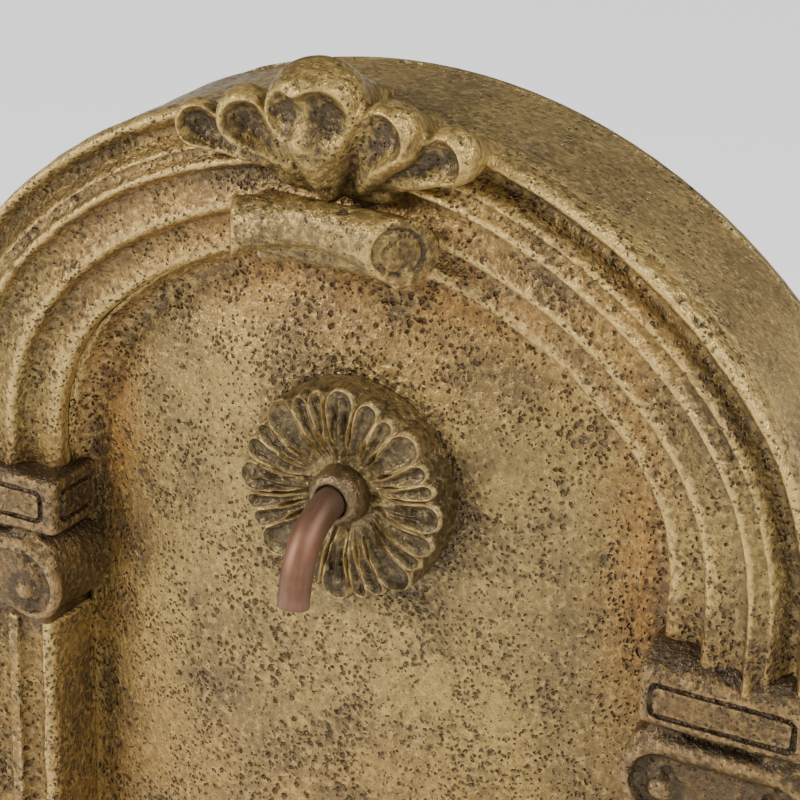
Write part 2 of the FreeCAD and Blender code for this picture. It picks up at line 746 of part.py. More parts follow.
tower = new_body("tower_body")
outline = new_sketch(tower, "tower_outline", "XZ_Plane", -cover_plane)
draw(outline, niche_arch(ring_width, deck))
extrude(tower, "Pad", outline, cover_plane - niche_plane)
cavity = new_sketch(tower, "tower_cavity", "XZ_Plane", -cover_plane)
draw(cavity, niche_arch(ring_width - size["casting_wall"], deck - size["casting_wall"]))
extrude(tower, "Pocket", cavity, cover_plane - panel_back, backwards=True)
field_inset = size["volute_radius"] - size["volute_inset"] + size["field_gap"]
recess = new_sketch(tower, "field_recess", "XZ_Plane", -panel_back)
draw(recess, niche_arch(-field_inset - size["field_bevel"], deck - size["casting_wall"]))
field = new_sketch(tower, "raised_field", "XZ_Plane", -niche_plane)
draw(field, niche_arch(-field_inset, deck))
extrude(tower, "Pad", field, size["field_rise"])
soften(
    tower,
    "Chamfer",
    size["field_bevel"],
    lambda edge: near(edge.BoundBox.YMin, field_plane.value)
    and near(edge.BoundBox.YMax, field_plane.value)
    and edge.BoundBox.ZMax > deck.value + 1,
)
extrude(tower, "Pocket", recess, panel_back - field_back, backwards=True)

# Cover screws: countersunk, round the edge of the rear cover


def cover_screw(index, across, up):
    shank = cylinder(
        f"cover_shank_{index}",
        size["screw_radius"],
        size["screw_length"],
        (across, rear_plane - size["screw_length"], up),
        "y",
    )
    head = doc.addObject("Part::Cone", f"cover_head_{index}")
    bind(head, "Radius1", size["screw_radius"])
    bind(head, "Radius2", size["screw_head_radius"])
    bind(head, "Height", size["screw_head_radius"] - size["screw_radius"])
    head_start = rear_plane - (size["screw_head_radius"] - size["screw_radius"])
    place(head, (across, head_start, up), AXIS_TURNS["y"])
    return fuse(f"cover_screw_{index}", [shank, head])


screw_line = size["niche_half_width"] + ring_width - size["casting_wall"] / 2
shoulder_reach = size["arch_shoulder_radius"] + ring_width - size["casting_wall"] / 2
shoulder_across = size["niche_half_width"] - size["arch_shoulder_radius"]
crown = niche_crown + ring_width - size["casting_wall"] / 2
half_turn = as_size(45).cosine()
screw_spots = [(ZERO, crown)]
for side in (1, -1):
    for step in range(3):
        screw_spots.append((screw_line * side, deck + size["screw_start"] + size["screw_rise"] * step))
    shoulder = (shoulder_across + shoulder_reach * half_turn) * side
    screw_spots.append((shoulder, springing + shoulder_reach * half_turn))
screws = [cover_screw(index, across, up) for index, (across, up) in enumerate(screw_spots)]
keep("rear_cover_screws", gather("rear_cover_screw_group", screws))

cover = new_body("rear_cover_body")
cover_outline = new_sketch(cover, "cover_outline", "XZ_Plane", -rear_plane)
draw(cover_outline, niche_arch(ring_width, deck))
extrude(cover, "Pad", cover_outline, size["cover_thickness"])
keep("rear_cover", cut("rear_cover_shape", cover, screws))

bulkhead_hole = cylinder(
    "bulkhead_hole",
    size["sleeve_radius"] + size["sleeve_gap"],
    rear_plane - face_plane,
    (0, face_plane, spout_height),
    "y",
)
keep("tower_casting", cut("tower_shape", tower, screws + [bulkhead_hole]))

# Arch moulding: stepped fascias, a hollow and a bead, swept round the niche

moulding = new_body("arch_moulding_body")
spine = new_sketch(moulding, "arch_path", "XZ_Plane", -niche_plane)
draw(spine, niche_arch(ZERO, size["spring_height"]), closed=False)
profile = new_sketch(moulding, "arch_profile", "XY_Plane", size["spring_height"])
middle_face = face_plane - size["fascia_step"]
crest_face = middle_face - size["crest_step"]
groove_face = crest_face + size["groove_depth"]
bead_face = groove_face - size["bead_seat"]
web_face = face_plane + size["web_depth"]
jamb = size["niche_half_width"]
middle_start = jamb + size["inner_fascia"]
crest_start = middle_start + size["middle_fascia"]
cove_start = crest_start + size["edge_round"] + size["crest_width"]
bead_start = jamb + ring_width - size["bead_radius"] * 2
outer_side = tower_half_width
draw(
    profile,
    [
        (jamb, niche_plane),
        (jamb, face_plane + size["edge_round"], size["edge_round"], 1),
        (jamb + size["edge_round"], face_plane),
        (middle_start, face_plane),
        (middle_start, middle_face + size["edge_round"], size["edge_round"], 1),
        (middle_start + size["edge_round"], middle_face),
        (crest_start, middle_face),
        (crest_start, crest_face + size["edge_round"], size["edge_round"], 1),
        (crest_start + size["edge_round"], crest_face),
        (cove_start, crest_face, size["cove_radius"], -1),
        (bead_start, groove_face),
        (bead_start, bead_face, size["bead_radius"], 1),
        (bead_start + size["bead_radius"], bead_face - size["bead_radius"], size["bead_radius"], 1),
        (outer_side, bead_face),
        (outer_side, niche_plane),
        (outer_side - size["casting_wall"], niche_plane),
        (outer_side - size["casting_wall"], web_face),
        (jamb + size["casting_wall"], web_face),
        (jamb + size["casting_wall"], niche_plane),
    ],
)
sweep(moulding, profile, spine)
keep("arch_moulding", moulding)

# Pilasters: fluted shafts on rolled bases, built on the right and mirrored to the left

abacus_foot = size["spring_height"] - size["abacus_height"]
volute_height = abacus_foot - size["volute_drop"] - size["volute_radius"]
shaft_top = volute_height - size["volute_radius"]
base_top = deck + size["foot_height"] + size["torus_height"] + size["collar_height"]
shaft_front = face_plane - size["shaft_projection"]
shaft_middle = jamb + ring_width / 2

shaft = new_body("pilaster_body")
plan = new_sketch(shaft, "pilaster_plan", "XY_Plane", base_top)
draw(plan, rectangle(jamb, shaft_front, outer_side, niche_plane))
extrude(shaft, "Pad", plan, shaft_top - base_top)
soften(
    shaft,
    "Fillet",
    size["shaft_round"],
    lambda edge: near(edge.BoundBox.YMax, shaft_front.value)
    and edge.BoundBox.ZLength > edge.BoundBox.XLength,
)
flutes = []
for step in (-1, 0, 1):
    middle = shaft_middle + size["flute_pitch"] * step
    low = base_top + size["flute_margin"]
    high = shaft_top - size["flute_margin"]
    flutes.append(cylinder(f"flute_{step + 1}", size["flute_radius"], high - low, (middle, shaft_front, low)))
    for end, up in (("foot", low), ("head", high)):
        ball = doc.addObject("Part::Sphere", f"flute_{end}_{step + 1}")
        bind(ball, "Radius", size["flute_radius"])
        flutes.append(place(ball, (middle, shaft_front, up)))
right_shaft = cut("right_pilaster_shape", shaft, flutes)
keep("right_pilaster", right_shaft)
keep("left_pilaster", mirror("left_pilaster_shape", right_shaft))

base = new_body("pilaster_base_body")
layers = [
    ("foot", size["foot_overhang"], deck, size["foot_height"]),
    ("torus", size["torus_overhang"], deck + size["foot_height"], size["torus_height"]),
    ("collar", size["collar_overhang"], base_top - size["collar_height"], size["collar_height"]),
]
for layer, overhang, low, height in layers:
    plan = new_sketch(base, f"base_{layer}", "XY_Plane", low)
    draw(plan, rectangle(jamb - overhang, shaft_front - overhang, outer_side + overhang, niche_plane))
    extrude(base, "Pad", plan, height)
right_base = keep("right_pilaster_base", base)
keep("left_pilaster_base", mirror("left_base_shape", right_base))

# Capitals: a block with incised tablets over a pair of scroll volutes

capital = new_body("capital_body")
abacus_in = jamb - size["abacus_overhang"]
abacus_out = outer_side + size["abacus_overhang"]
abacus_front = face_plane - size["abacus_projection"]
plan = new_sketch(capital, "abacus_plan", "XY_Plane", abacus_foot)
draw(plan, rectangle(abacus_in, abacus_front, abacus_out, niche_plane))
extrude(capital, "Pad", plan, size["abacus_height"])
soften(
    capital,
    "Fillet",
    size["abacus_round"],
    lambda edge: near(edge.BoundBox.ZMin, size["spring_height"].value)
    and edge.BoundBox.YMin < niche_plane.value - 1,
)


def tablet(name, role, offset, low, high, backwards):
    """Incise the outline of a tablet, inside the edges of one face of the block."""
    sketch = new_sketch(capital, name, role, offset)
    border = size["tablet_border"]
    line = size["tablet_line"]
    foot = abacus_foot + border
    head = size["spring_height"] - border
    draw(sketch, rectangle(low + border, foot, high - border, head))
    draw(sketch, rectangle(low + border + line, foot + line, high - border - line, head - line))
    extrude(capital, "Pocket", sketch, line, backwards)


tablet("front_tablet", "XZ_Plane", -abacus_front, abacus_in, abacus_out, False)
tablet("side_tablet", "YZ_Plane", abacus_in, abacus_front, niche_plane, True)
neck = new_sketch(capital, "capital_neck", "XZ_Plane", -niche_plane)
draw(neck, rectangle(jamb, shaft_top, outer_side, abacus_foot))
extrude(capital, "Pad", neck, niche_plane - shaft_front)
volute_in = jamb + size["volute_inset"]
volute_out = outer_side - size["volute_inset"]
rolls = new_sketch(capital, "volute_rolls", "XZ_Plane", -niche_plane)
for middle in (volute_in, volute_out):
    circle(rolls, middle, volute_height, size["volute_radius"])
extrude(capital, "Pad", rolls, niche_plane - abacus_front)
channel = new_sketch(capital, "volute_channels", "XZ_Plane", -abacus_front)
for middle in (volute_in, volute_out):
    circle(channel, middle, volute_height, size["volute_radius"] - size["volute_rim"])
    circle(channel, middle, volute_height, size["eye_radius"])
extrude(capital, "Pocket", channel, size["volute_hollow"], False)
right_capital = keep("right_capital", capital)
keep("left_capital", mirror("left_capital_shape", right_capital))

# Scroll keystone: a waisted roll across the crown of the arch, with a fold below it

scroll = new_body("scroll_body")
profile = new_sketch(scroll, "scroll_profile", "XZ_Plane", ZERO)
half_length = size["scroll_half_length"]
end_radius = size["scroll_end_radius"]
waist_dip = end_radius - size["scroll_waist_radius"]
waist_curve = (half_length * half_length + waist_dip * waist_dip) / (waist_dip * 2)
draw(
    profile,
    [
        (-half_length, ZERO),
        (half_length, ZERO),
        (half_length, end_radius, waist_curve, -1),
        (ZERO, size["scroll_waist_radius"], waist_curve, -1),
        (-half_length, end_radius),
    ],
)
roll = scroll.newObject("PartDesign::Revolution", "scroll_roll")
roll.Profile = profile
roll.ReferenceAxis = (profile, ["H_Axis"])
roll.Angle = 360
scroll.Tip = roll
scroll_axis = (0, face_plane - size["scroll_forward"], niche_crown + size["scroll_rise"])
place(scroll, scroll_axis)
end_tools = []
for side, start in (("right", half_length - size["scroll_hollow"]), ("left", -half_length)):
    ring = cylinder(
        f"{side}_end_ring",
        size["scroll_waist_radius"] - size["volute_rim"] / 2,
        size["scroll_hollow"],
        (start, *scroll_axis[1:]),
        "x",
    )
    eye = cylinder(
        f"{side}_end_eye", size["eye_radius"], size["scroll_hollow"], (start, *scroll_axis[1:]), "x"
    )
    end_tools.append(cut(f"{side}_end_channel", ring, [eye]))
lip = cylinder(
    "scroll_lip",
    size["scroll_lip_radius"],
    half_length * 2 - size["scroll_lip_radius"] * 2,
    (-half_length + size["scroll_lip_radius"], face_plane - size["scroll_lip_radius"], niche_crown),
    "x",
)
rolled = fuse("scroll_with_lip", [cut("scroll_with_ends", scroll, end_tools), lip])
keep("scroll_keystone", cut("scroll_keystone_shape", rolled, [moulding]))

# Palmette crest: five scooped lobes that fan out from one foot

crest_foot = niche_crown + size["crest_rise"]

def fan_shape(name, turn, length, tip_radius, forward):
    """A cone with a round tip that leans out from the foot of the crest."""
    back = face_plane - forward
    reach = length - tip_radius
    stem = doc.addObject("Part::Cone", f"{name}_stem")
    bind(stem, "Radius1", size["lobe_foot"])
    bind(stem, "Radius2", tip_radius)
    bind(stem, "Height", reach)
    place(stem, (0, back, crest_foot), FreeCAD.Rotation(Vector(0, 1, 0), turn.value))
    bind(stem, "Placement.Rotation.Angle", turn)
    ball = doc.addObject("Part::Sphere", f"{name}_tip")
    bind(ball, "Radius", tip_radius)
    place(ball, (reach * turn.sine(), back, crest_foot + reach * turn.cosine()))
    return [stem, ball]


lobe_list = [("middle", ZERO, size["crest_length"], size["lobe_half_width"])]
for side, sign in (("right", 1), ("left", -1)):
    for ring_name in ("inner", "outer"):
        turn = size[f"{ring_name}_lobe_angle"] * sign
        length = size[f"{ring_name}_lobe_length"]
        lobe_list.append((f"{side}_{ring_name}", turn, length, size["side_lobe_half_width"]))
shells = []
scoops = []
for lobe, turn, length, half_width in lobe_list:
    shells += fan_shape(f"{lobe}_lobe", turn, length, half_width, size["crest_forward"])
    scoop_radius = half_width - size["lobe_rim"]
    scoop_forward = size["crest_forward"] + half_width
    scoops += fan_shape(f"{lobe}_scoop", turn, length - size["lobe_rim"], scoop_radius, scoop_forward)
crest = cut("scooped_crest", fuse("crest_lobes", shells), scoops)
crest_on_scroll = cut("crest_on_scroll", crest, [rolled])
keep("palmette_crest", cut("palmette_crest_shape", crest_on_scroll, [moulding]))

# Rosette: a leafy boss on the panel round the spout

rosette = new_body("rosette_body")
rosette_face = face_plane - size["rosette_front"]
leaf_line = size["rosette_radius"] - size["leaf_radius"]
boss = new_sketch(rosette, "rosette_boss", "XZ_Plane", ZERO)
circle(boss, ZERO, ZERO, leaf_line)
circle(boss, ZERO, ZERO, size["sleeve_radius"] + size["sleeve_gap"])
extrude(rosette, "Pad", boss, field_plane - rosette_face)
tip = new_sketch(rosette, "leaf_tip", "XZ_Plane", ZERO)
circle(tip, ZERO, leaf_line, size["leaf_radius"])
leaf = extrude(rosette, "Pad", tip, field_plane - rosette_face)
hollow = new_sketch(rosette, "leaf_hollow", "XZ_Plane", field_plane - rosette_face)
circle(hollow, ZERO, leaf_line, size["leaf_hollow_radius"])
scoop = extrude(rosette, "Pocket", hollow, size["leaf_hollow"])
pattern = rosette.newObject("PartDesign::PolarPattern", "leaves")
pattern.Originals = [leaf, scoop]
pattern.Axis = ([feature for feature in rosette.Origin.OriginFeatures if feature.Role == "Y_Axis"][0], [""])
pattern.Angle = 360
bind(pattern, "Occurrences", size["leaf_count"])
rosette.Tip = pattern
dish = new_sketch(rosette, "rosette_dish", "XZ_Plane", field_plane - rosette_face)
circle(dish, ZERO, ZERO, size["collar_radius"] + size["dish_border"])
extrude(rosette, "Pocket", dish, size["rosette_dish"])
place(rosette, (0, field_plane, spout_height))
keep("rosette", rosette)

# Spout: a bent copper tube in a bulkhead elbow, with a collar that holds the rosette

collar_seat = rosette_face + size["rosette_dish"]
tube_start = collar_seat - size["collar_length"]
sleeve_front = tube_start + size["collar_lip"]
tube_tail = panel_back
bend = size["spout_bend_radius"]
turn = size["spout_bend_angle"]
bend_end = tube_start - bend * turn.sine()
bend_foot = spout_height - bend * (as_size(1) - turn.cosine())
tip_end = bend_end - size["spout_tip"] * turn.cosine()
tip_foot = bend_foot - size["spout_tip"] * turn.sine()
tube_bore = size["tube_outer_radius"] - size["tube_wall"]

tube = new_body("spout_tube_body")
spine = new_sketch(tube, "spout_path", "YZ_Plane", ZERO)
draw(
    spine,
    [
        (tube_tail, spout_height),
        (tube_start, spout_height, bend, 1),
        (bend_end, bend_foot),
        (tip_end, tip_foot),
    ],
    closed=False,
)
profile = new_sketch(tube, "spout_section", "XZ_Plane", -tube_tail)
circle(profile, ZERO, spout_height, size["tube_outer_radius"])
circle(profile, ZERO, spout_height, tube_bore)
sweep(tube, profile, spine)
keep("spout_tube", tube)


def on_spout(name, radius, start, stop):
    """A cylinder on the spout's axis between two distances from the middle of the fountain."""
    return cylinder(name, radius, stop - start, (0, start, spout_height), "y")


collar_solid = on_spout("collar_solid", size["collar_radius"], tube_start, collar_seat)
collar_edge = doc.addObject("Part::Fillet", "collar_rounded")
collar_edge.Base = collar_solid
doc.recompute()
front_edges = [
    (index, size["collar_round"].value, size["collar_round"].value)
    for index, edge in enumerate(collar_solid.Shape.Edges, start=1)
    if near(edge.BoundBox.YMax, tube_start.value)
]
collar_edge.Edges = front_edges
collar_bores = [
    on_spout("collar_front_bore", size["tube_outer_radius"] + size["slip_gap"] * 2, tube_start, collar_seat),
    on_spout("collar_rear_bore", size["sleeve_radius"], sleeve_front, collar_seat),
]
keep("spout_collar", cut("spout_collar_shape", collar_edge, collar_bores))

seal_back = sleeve_front + size["seal_width"]
seal_ring = on_spout("seal_ring", size["seal_radius"], sleeve_front, seal_back)
seal_bore = on_spout("seal_bore", size["tube_outer_radius"] + size["slip_gap"], sleeve_front, seal_back)
keep("spout_seal", cut("spout_seal_shape", seal_ring, [seal_bore]))

elbow_corner = doc.addObject("Part::Sphere", "elbow_corner")
bind(elbow_corner, "Radius", size["sleeve_radius"])
place(elbow_corner, (0, down_pipe, spout_height))
barb_top = spout_height - size["elbow_drop"]
barb_foot = barb_top - size["barb_length"]
elbow_solid = fuse(
    "elbow_solid",
    [
        on_spout("elbow_sleeve", size["sleeve_radius"], sleeve_front, down_pipe),
        elbow_corner,
        cylinder("elbow_leg", size["sleeve_radius"], size["elbow_drop"], (0, down_pipe, barb_top)),
        cylinder("elbow_barb", size["hose_bore_radius"], size["barb_length"], (0, down_pipe, barb_foot)),
    ],
)
tail_stop = tube_tail + size["running_gap"]
elbow_bores = [
    on_spout("tube_socket", size["tube_outer_radius"] + size["slip_gap"], sleeve_front, tail_stop),
    on_spout("seal_seat", size["seal_radius"], sleeve_front, seal_back),
    on_spout("elbow_waterway", size["waterway_radius"], sleeve_front, down_pipe),
    cylinder(
        "barb_waterway",
        size["waterway_radius"],
        spout_height - barb_foot,
        (0, down_pipe, barb_foot),
    ),
]
keep("bulkhead_elbow", cut("bulkhead_elbow_shape", elbow_solid, elbow_bores))

washer_back = field_back + size["washer_thickness"]
nut_back = washer_back + size["nut_thickness"]
washer = on_spout("washer_disc", size["washer_radius"], field_back, washer_back)
washer_bore = on_spout("washer_bore", size["sleeve_radius"], field_back, washer_back)
keep("bulkhead_washer", cut("bulkhead_washer_shape", washer, [washer_bore]))
nut = doc.addObject("Part::Prism", "nut_prism")
nut.Polygon = 6
bind(nut, "Circumradius", size["nut_radius"])
bind(nut, "Height", size["nut_thickness"])
place(nut, (0, washer_back, spout_height), AXIS_TURNS["y"])
nut_bore = on_spout("nut_bore", size["sleeve_radius"], washer_back, nut_back)
keep("bulkhead_locknut", cut("bulkhead_locknut_shape", nut, [nut_bore]))

# Supply hose: up from the pump, back through the bowl's rear wall and up the tower

pump_foot = size["floor_height"] + size["pump_foot"]
pump_top = pump_foot + size["pump_height"]
outlet_top = pump_top + size["outlet_length"]
hose_start = outlet_top - size["hose_lap"]
hose_end = barb_foot + size["hose_lap"]
crossing = size["hose_crossing"]
hose_bend = size["hose_bend_radius"]
hose = new_body("supply_hose_body")
spine = new_sketch(hose, "hose_path", "YZ_Plane", ZERO)
draw(
    spine,
    [
        (size["pump_middle"], hose_start),
        (size["pump_middle"], crossing - hose_bend, hose_bend, -1),
        (size["pump_middle"] + hose_bend, crossing),
        (down_pipe - hose_bend, crossing, hose_bend, 1),
        (down_pipe, crossing + hose_bend),
        (down_pipe, hose_end),
    ],
    closed=False,
)
profile = new_sketch(hose, "hose_section", "XY_Plane", hose_start)
circle(profile, ZERO, size["pump_middle"], hose_radius)
circle(profile, ZERO, size["pump_middle"], size["hose_bore_radius"])
sweep(hose, profile, spine)
keep("supply_hose", hose)


def hose_clamp(name, back, up):
    """A band round the hose with the housing of its tightening screw."""
    band_radius = hose_radius + size["clamp_thickness"]
    band = cylinder(f"{name}_band", band_radius, size["clamp_width"], (0, back, up))
    housing = block(
        f"{name}_housing",
        (hose_radius, back - size["clamp_screw"] / 2, up),
        (band_radius + size["clamp_screw"] / 2, back + size["clamp_screw"] / 2, up + size["clamp_width"]),
    )
    bore = cylinder(f"{name}_bore", hose_radius, size["clamp_width"], (0, back, up))
    return cut(f"{name}_shape", fuse(f"{name}_solid", [band, housing]), [bore])


clamp_margin = (size["hose_lap"] - size["clamp_width"]) / 2
keep("lower_hose_clamp", hose_clamp("lower_clamp", size["pump_middle"], hose_start + clamp_margin))
keep("upper_hose_clamp", hose_clamp("upper_clamp", down_pipe, barb_foot + clamp_margin))

clips = []
for step in range(3):
    up = deck + size["clip_start"] + size["clip_spacing"] * step
    ring_radius = hose_radius + size["clip_wall"]
    ring = cylinder(f"clip_ring_{step}", ring_radius, size["clip_height"], (0, down_pipe, up))
    foot = block(
        f"clip_foot_{step}",
        (-ring_radius, field_back, up),
        (ring_radius, down_pipe - hose_radius / 2, up + size["clip_height"]),
    )
    bore = cylinder(f"clip_bore_{step}", hose_radius, size["clip_height"], (0, down_pipe, up))
    clips.append(cut(f"clip_{step}", fuse(f"clip_solid_{step}", [ring, foot]), [bore]))
keep("hose_clips", gather("hose_clip_group", clips))

lip = size["grommet_lip"]
grommet_start = size["bay_front"] - lip
grommet_length = size["bay_wall"] + lip * 2
flange_radius = crossing_hole + size["grommet_flange"]
hose_grommet = fuse(
    "hose_grommet_solid",
    [
        cylinder("hose_grommet_core", crossing_hole, grommet_length, (0, grommet_start, crossing), "y"),
        cylinder("hose_grommet_front", flange_radius, lip, (0, grommet_start, crossing), "y"),
        cylinder("hose_grommet_rear", flange_radius, lip, (0, bay_back, crossing), "y"),
    ],
)
hose_grommet_bore = cylinder(
    "hose_grommet_bore", hose_radius, grommet_length, (0, grommet_start, crossing), "y"
)
keep("hose_grommet", cut("hose_grommet_shape", hose_grommet, [hose_grommet_bore]))

# Pump: motor housing, chamber, rotor with impeller, strainer and flow slider

axis_height = pump_foot + size["pump_height"] / 2
chamber_front = size["pump_middle"] - size["volute_depth"] / 2
chamber_back = size["pump_middle"] + size["volute_depth"] / 2
motor_back = chamber_back + size["pump_depth"]
half = size["pump_half_width"]


def on_pump(name, radius, start, stop):
    """A cylinder on the pump's axis between two distances from the middle of the fountain."""
    return cylinder(name, radius, stop - start, (0, start, axis_height), "y")


well_radius = size["rotor_radius"] + size["rotor_gap"]
well_back = chamber_back + size["rotor_length"] + size["rotor_gap"]
bush_back = well_back + size["bush_length"]
motor = block("motor_block", (-half, chamber_back, pump_foot), (half, motor_back, pump_top))
motor_bores = [
    on_pump("rotor_well", well_radius, chamber_back, well_back),
    on_pump("rear_bush_seat", size["bush_radius"], well_back, bush_back),
]
keep("pump_body", cut("pump_body_shape", motor, motor_bores))

chamber_floor = chamber_front + size["chamber_wall"]
volute_block = block("volute_block", (-half, chamber_front, pump_foot), (half, chamber_back, pump_top))
outlet = cylinder(
    "pump_outlet", size["hose_bore_radius"], size["outlet_length"], (0, size["pump_middle"], pump_top)
)
front_bush_back = chamber_floor + size["bush_length"]
volute_bores = [
    on_pump("pump_chamber", size["chamber_radius"], chamber_floor, chamber_back),
    cylinder(
        "outlet_waterway",
        size["waterway_radius"],
        outlet_top - axis_height,
        (0, size["pump_middle"], axis_height),
    ),
]
for index in range(int(size["intake_count"].value)):
    angle = as_size(360 / size["intake_count"].value * index)
    across = size["intake_circle"] * angle.cosine()
    up = axis_height + size["intake_circle"] * angle.sine()
    spot = (across, chamber_front, up)
    volute_bores.append(cylinder(f"intake_{index}", size["intake_radius"], size["chamber_wall"], spot, "y"))
volute_solid = fuse("volute_solid", [volute_block, outlet])
keep("pump_volute", cut("pump_volute_shape", volute_solid, volute_bores))

shaft_hole = size["shaft_radius"] + size["slip_gap"]
blade_front = front_bush_back + size["rotor_gap"]
blade_back = blade_front + size["blade_depth"]
rotor_back = well_back - size["rotor_gap"] / 2
rotor_parts = [
    on_pump("rotor_magnet", size["rotor_radius"], blade_back - size["blade_depth"] / 4, rotor_back),
    on_pump("impeller_hub", size["bush_radius"], blade_front, blade_back),
]
for index in range(int(size["blade_count"].value)):
    blade = doc.addObject("Part::Box", f"blade_{index}")
    bind(blade, "Length", size["blade_radius"])
    bind(blade, "Width", size["blade_depth"])
    bind(blade, "Height", size["blade_thickness"])
    turn = FreeCAD.Rotation(Vector(0, 1, 0), 360.0 * index / size["blade_count"].value)
    rotor_parts.append(place(blade, (0, blade_front, axis_height), turn))
rotor_bore = on_pump("rotor_bore", shaft_hole, blade_front, rotor_back)
keep("impeller", cut("impeller_shape", fuse("impeller_solid", rotor_parts), [rotor_bore]))

keep("pump_shaft", on_pump("pump_shaft_rod", size["shaft_radius"], chamber_floor, bush_back))
bushes = []
for name, start, stop in (("front", chamber_floor, front_bush_back), ("rear", well_back, bush_back)):
    ring = on_pump(f"{name}_bush_ring", size["bush_radius"], start, stop)
    bore = on_pump(f"{name}_bush_bore", size["shaft_radius"], start, stop)
    bushes.append(cut(f"{name}_bush", ring, [bore]))
keep("shaft_bushes", gather("shaft_bush_group", bushes))

foot_spots = [
    (across * sign, back)
    for sign in (1, -1)
    for across, back in (
        (half - size["pump_foot_radius"], chamber_back + size["pump_foot_radius"]),
        (half - size["pump_foot_radius"], motor_back - size["pump_foot_radius"]),
    )
]
feet = []
for index, (across, back) in enumerate(foot_spots):
    cup = doc.addObject("Part::Cone", f"pump_foot_{index}")
    bind(cup, "Radius1", size["pump_foot_radius"])
    bind(cup, "Radius2", size["pump_foot_radius"] / 2)
    bind(cup, "Height", size["pump_foot"])
    feet.append(place(cup, (across, back, size["floor_height"])))
keep("pump_feet", gather("pump_foot_group", feet))

strainer_back = chamber_front + size["strainer_lap"]
strainer_front = chamber_front - size["strainer_depth"]
skin = size["strainer_wall"]
inner_half = half + size["strainer_gap"]
outer_half = inner_half + skin
strainer_foot = pump_foot - size["strainer_gap"] - skin
strainer_top = pump_top + size["strainer_gap"] + skin
strainer_solid = block(
    "strainer_solid",
    (-outer_half, strainer_front, strainer_foot),
    (outer_half, strainer_back, strainer_top),
)
strainer_space = block(
    "strainer_space",
    (-inner_half, strainer_front + skin, strainer_foot + skin),
    (inner_half, strainer_back + skin, strainer_top - skin),
)
slots = []
slot_half = size["slot_width"] / 2
slot_foot = axis_height - size["slot_length"] / 2
slot_head = axis_height + size["slot_length"] / 2
for index in (-3, -2, 2, 3):
    middle = size["slot_pitch"] * index
    slots.append(
        block(
            f"strainer_slot_{index + 3}",
            (middle - slot_half, strainer_front - skin, slot_foot),
            (middle + slot_half, strainer_front + skin * 2, slot_head),
        )
    )
neck_half = size["slider_neck"] / 2
slider_slot = block(
    "slider_slot",
    (-neck_half - size["running_gap"], strainer_front - skin, slot_foot),
    (neck_half + size["running_gap"], strainer_front + skin * 2, slot_head),
)
outlet_notch = block(
    "outlet_notch",
    (-size["hose_bore_radius"] - skin * 2, chamber_front, pump_top),
    (size["hose_bore_radius"] + skin * 2, strainer_back + skin, strainer_top + skin),
)
strainer_tools = [strainer_space, slider_slot, outlet_notch] + slots
keep("strainer", cut("strainer_shape", strainer_solid, strainer_tools))

knob_half = size["slider_neck"]
neck_foot_height = slot_foot + size["running_gap"]
neck_top_height = slot_head - size["slider_travel"] - size["running_gap"]
slider_middle = (neck_foot_height + neck_top_height) / 2
plate_half = size["slider_plate"] / 2
slider_gap = size["running_gap"]
slider = fuse(
    "flow_slider_solid",
    [
        block(
            "slider_neck_block",
            (-neck_half, strainer_front - slider_gap - skin, neck_foot_height),
            (neck_half, strainer_front + skin + slider_gap + skin, neck_top_height),
        ),
        block(
            "slider_knob",
            (-knob_half, strainer_front - slider_gap - skin * 2, slider_middle - plate_half),
            (knob_half, strainer_front - slider_gap, slider_middle + plate_half),
        ),
        block(
            "slider_shutter",
            (-knob_half, strainer_front + skin + slider_gap, slider_middle - plate_half),
            (knob_half, strainer_front + skin * 2 + slider_gap, slider_middle + plate_half),
        ),
    ],
)
keep("flow_slider", slider)

# Pump cover: a round-fronted hood with a hose notch in its top and water slots at its foot

hood_back = size["bay_front"] - size["hood_gap"]
hood_foot = size["floor_height"] + size["hood_gap"]
hood_top = hood_foot + size["hood_height"]


def hood_plan(inset, back):
    half_width = size["hood_half_width"] - inset
    front = inset - size["hood_front"]
    corner = size["hood_corner"] - inset
    return [
        (half_width, back),
        (half_width, front + corner, corner, -1),
        (half_width - corner, front),
        (-half_width + corner, front, corner, -1),
        (-half_width, front + corner),
        (-half_width, back),
    ]


hood = new_body("pump_cover_body")
plan = new_sketch(hood, "hood_outside", "XY_Plane", hood_foot)
draw(plan, hood_plan(ZERO, hood_back))
extrude(hood, "Pad", plan, size["hood_height"])
soften(
    hood,
    "Fillet",
    size["hood_wall"],
    lambda edge: near(edge.BoundBox.ZMin, hood_top.value) and edge.BoundBox.YMin < hood_back.value - 1,
)
space = new_sketch(hood, "hood_inside", "XY_Plane", hood_top - size["hood_wall"])
draw(space, hood_plan(size["hood_wall"], hood_back + size["hood_wall"]))
extrude(hood, "Pocket", space, size["hood_height"])
notch = new_sketch(hood, "hose_notch", "XY_Plane", hood_top)
notch_half = flange_radius + size["hood_gap"]
notch_front = size["pump_middle"] - notch_half
draw(
    notch,
    [
        (notch_half, hood_back + notch_half),
        (notch_half, size["pump_middle"], notch_half, -1),
        (ZERO, notch_front, notch_half, -1),
        (-notch_half, size["pump_middle"]),
        (-notch_half, hood_back + notch_half),
    ],
)
extrude(hood, "Pocket", notch, size["hood_wall"] * 2)
water_slots = new_sketch(hood, "water_slots", "XZ_Plane", size["hood_front"])
slot_end = size["hood_slot_radius"]
slot_spring = hood_foot + size["hood_slot_height"] - slot_end
for step in (-1, 0, 1):
    middle = size["hood_slot_pitch"] * step
    draw(
        water_slots,
        [
            (middle - slot_end, hood_foot - slot_end),
            (middle + slot_end, hood_foot - slot_end),
            (middle + slot_end, slot_spring, slot_end, 1),
            (middle, slot_spring + slot_end, slot_end, 1),
            (middle - slot_end, slot_spring),
        ],
    )
extrude(hood, "Pocket", water_slots, size["hood_wall"] * 4)
keep("pump_cover", hood)

# Access door with its hinges, turn button and cord grommet

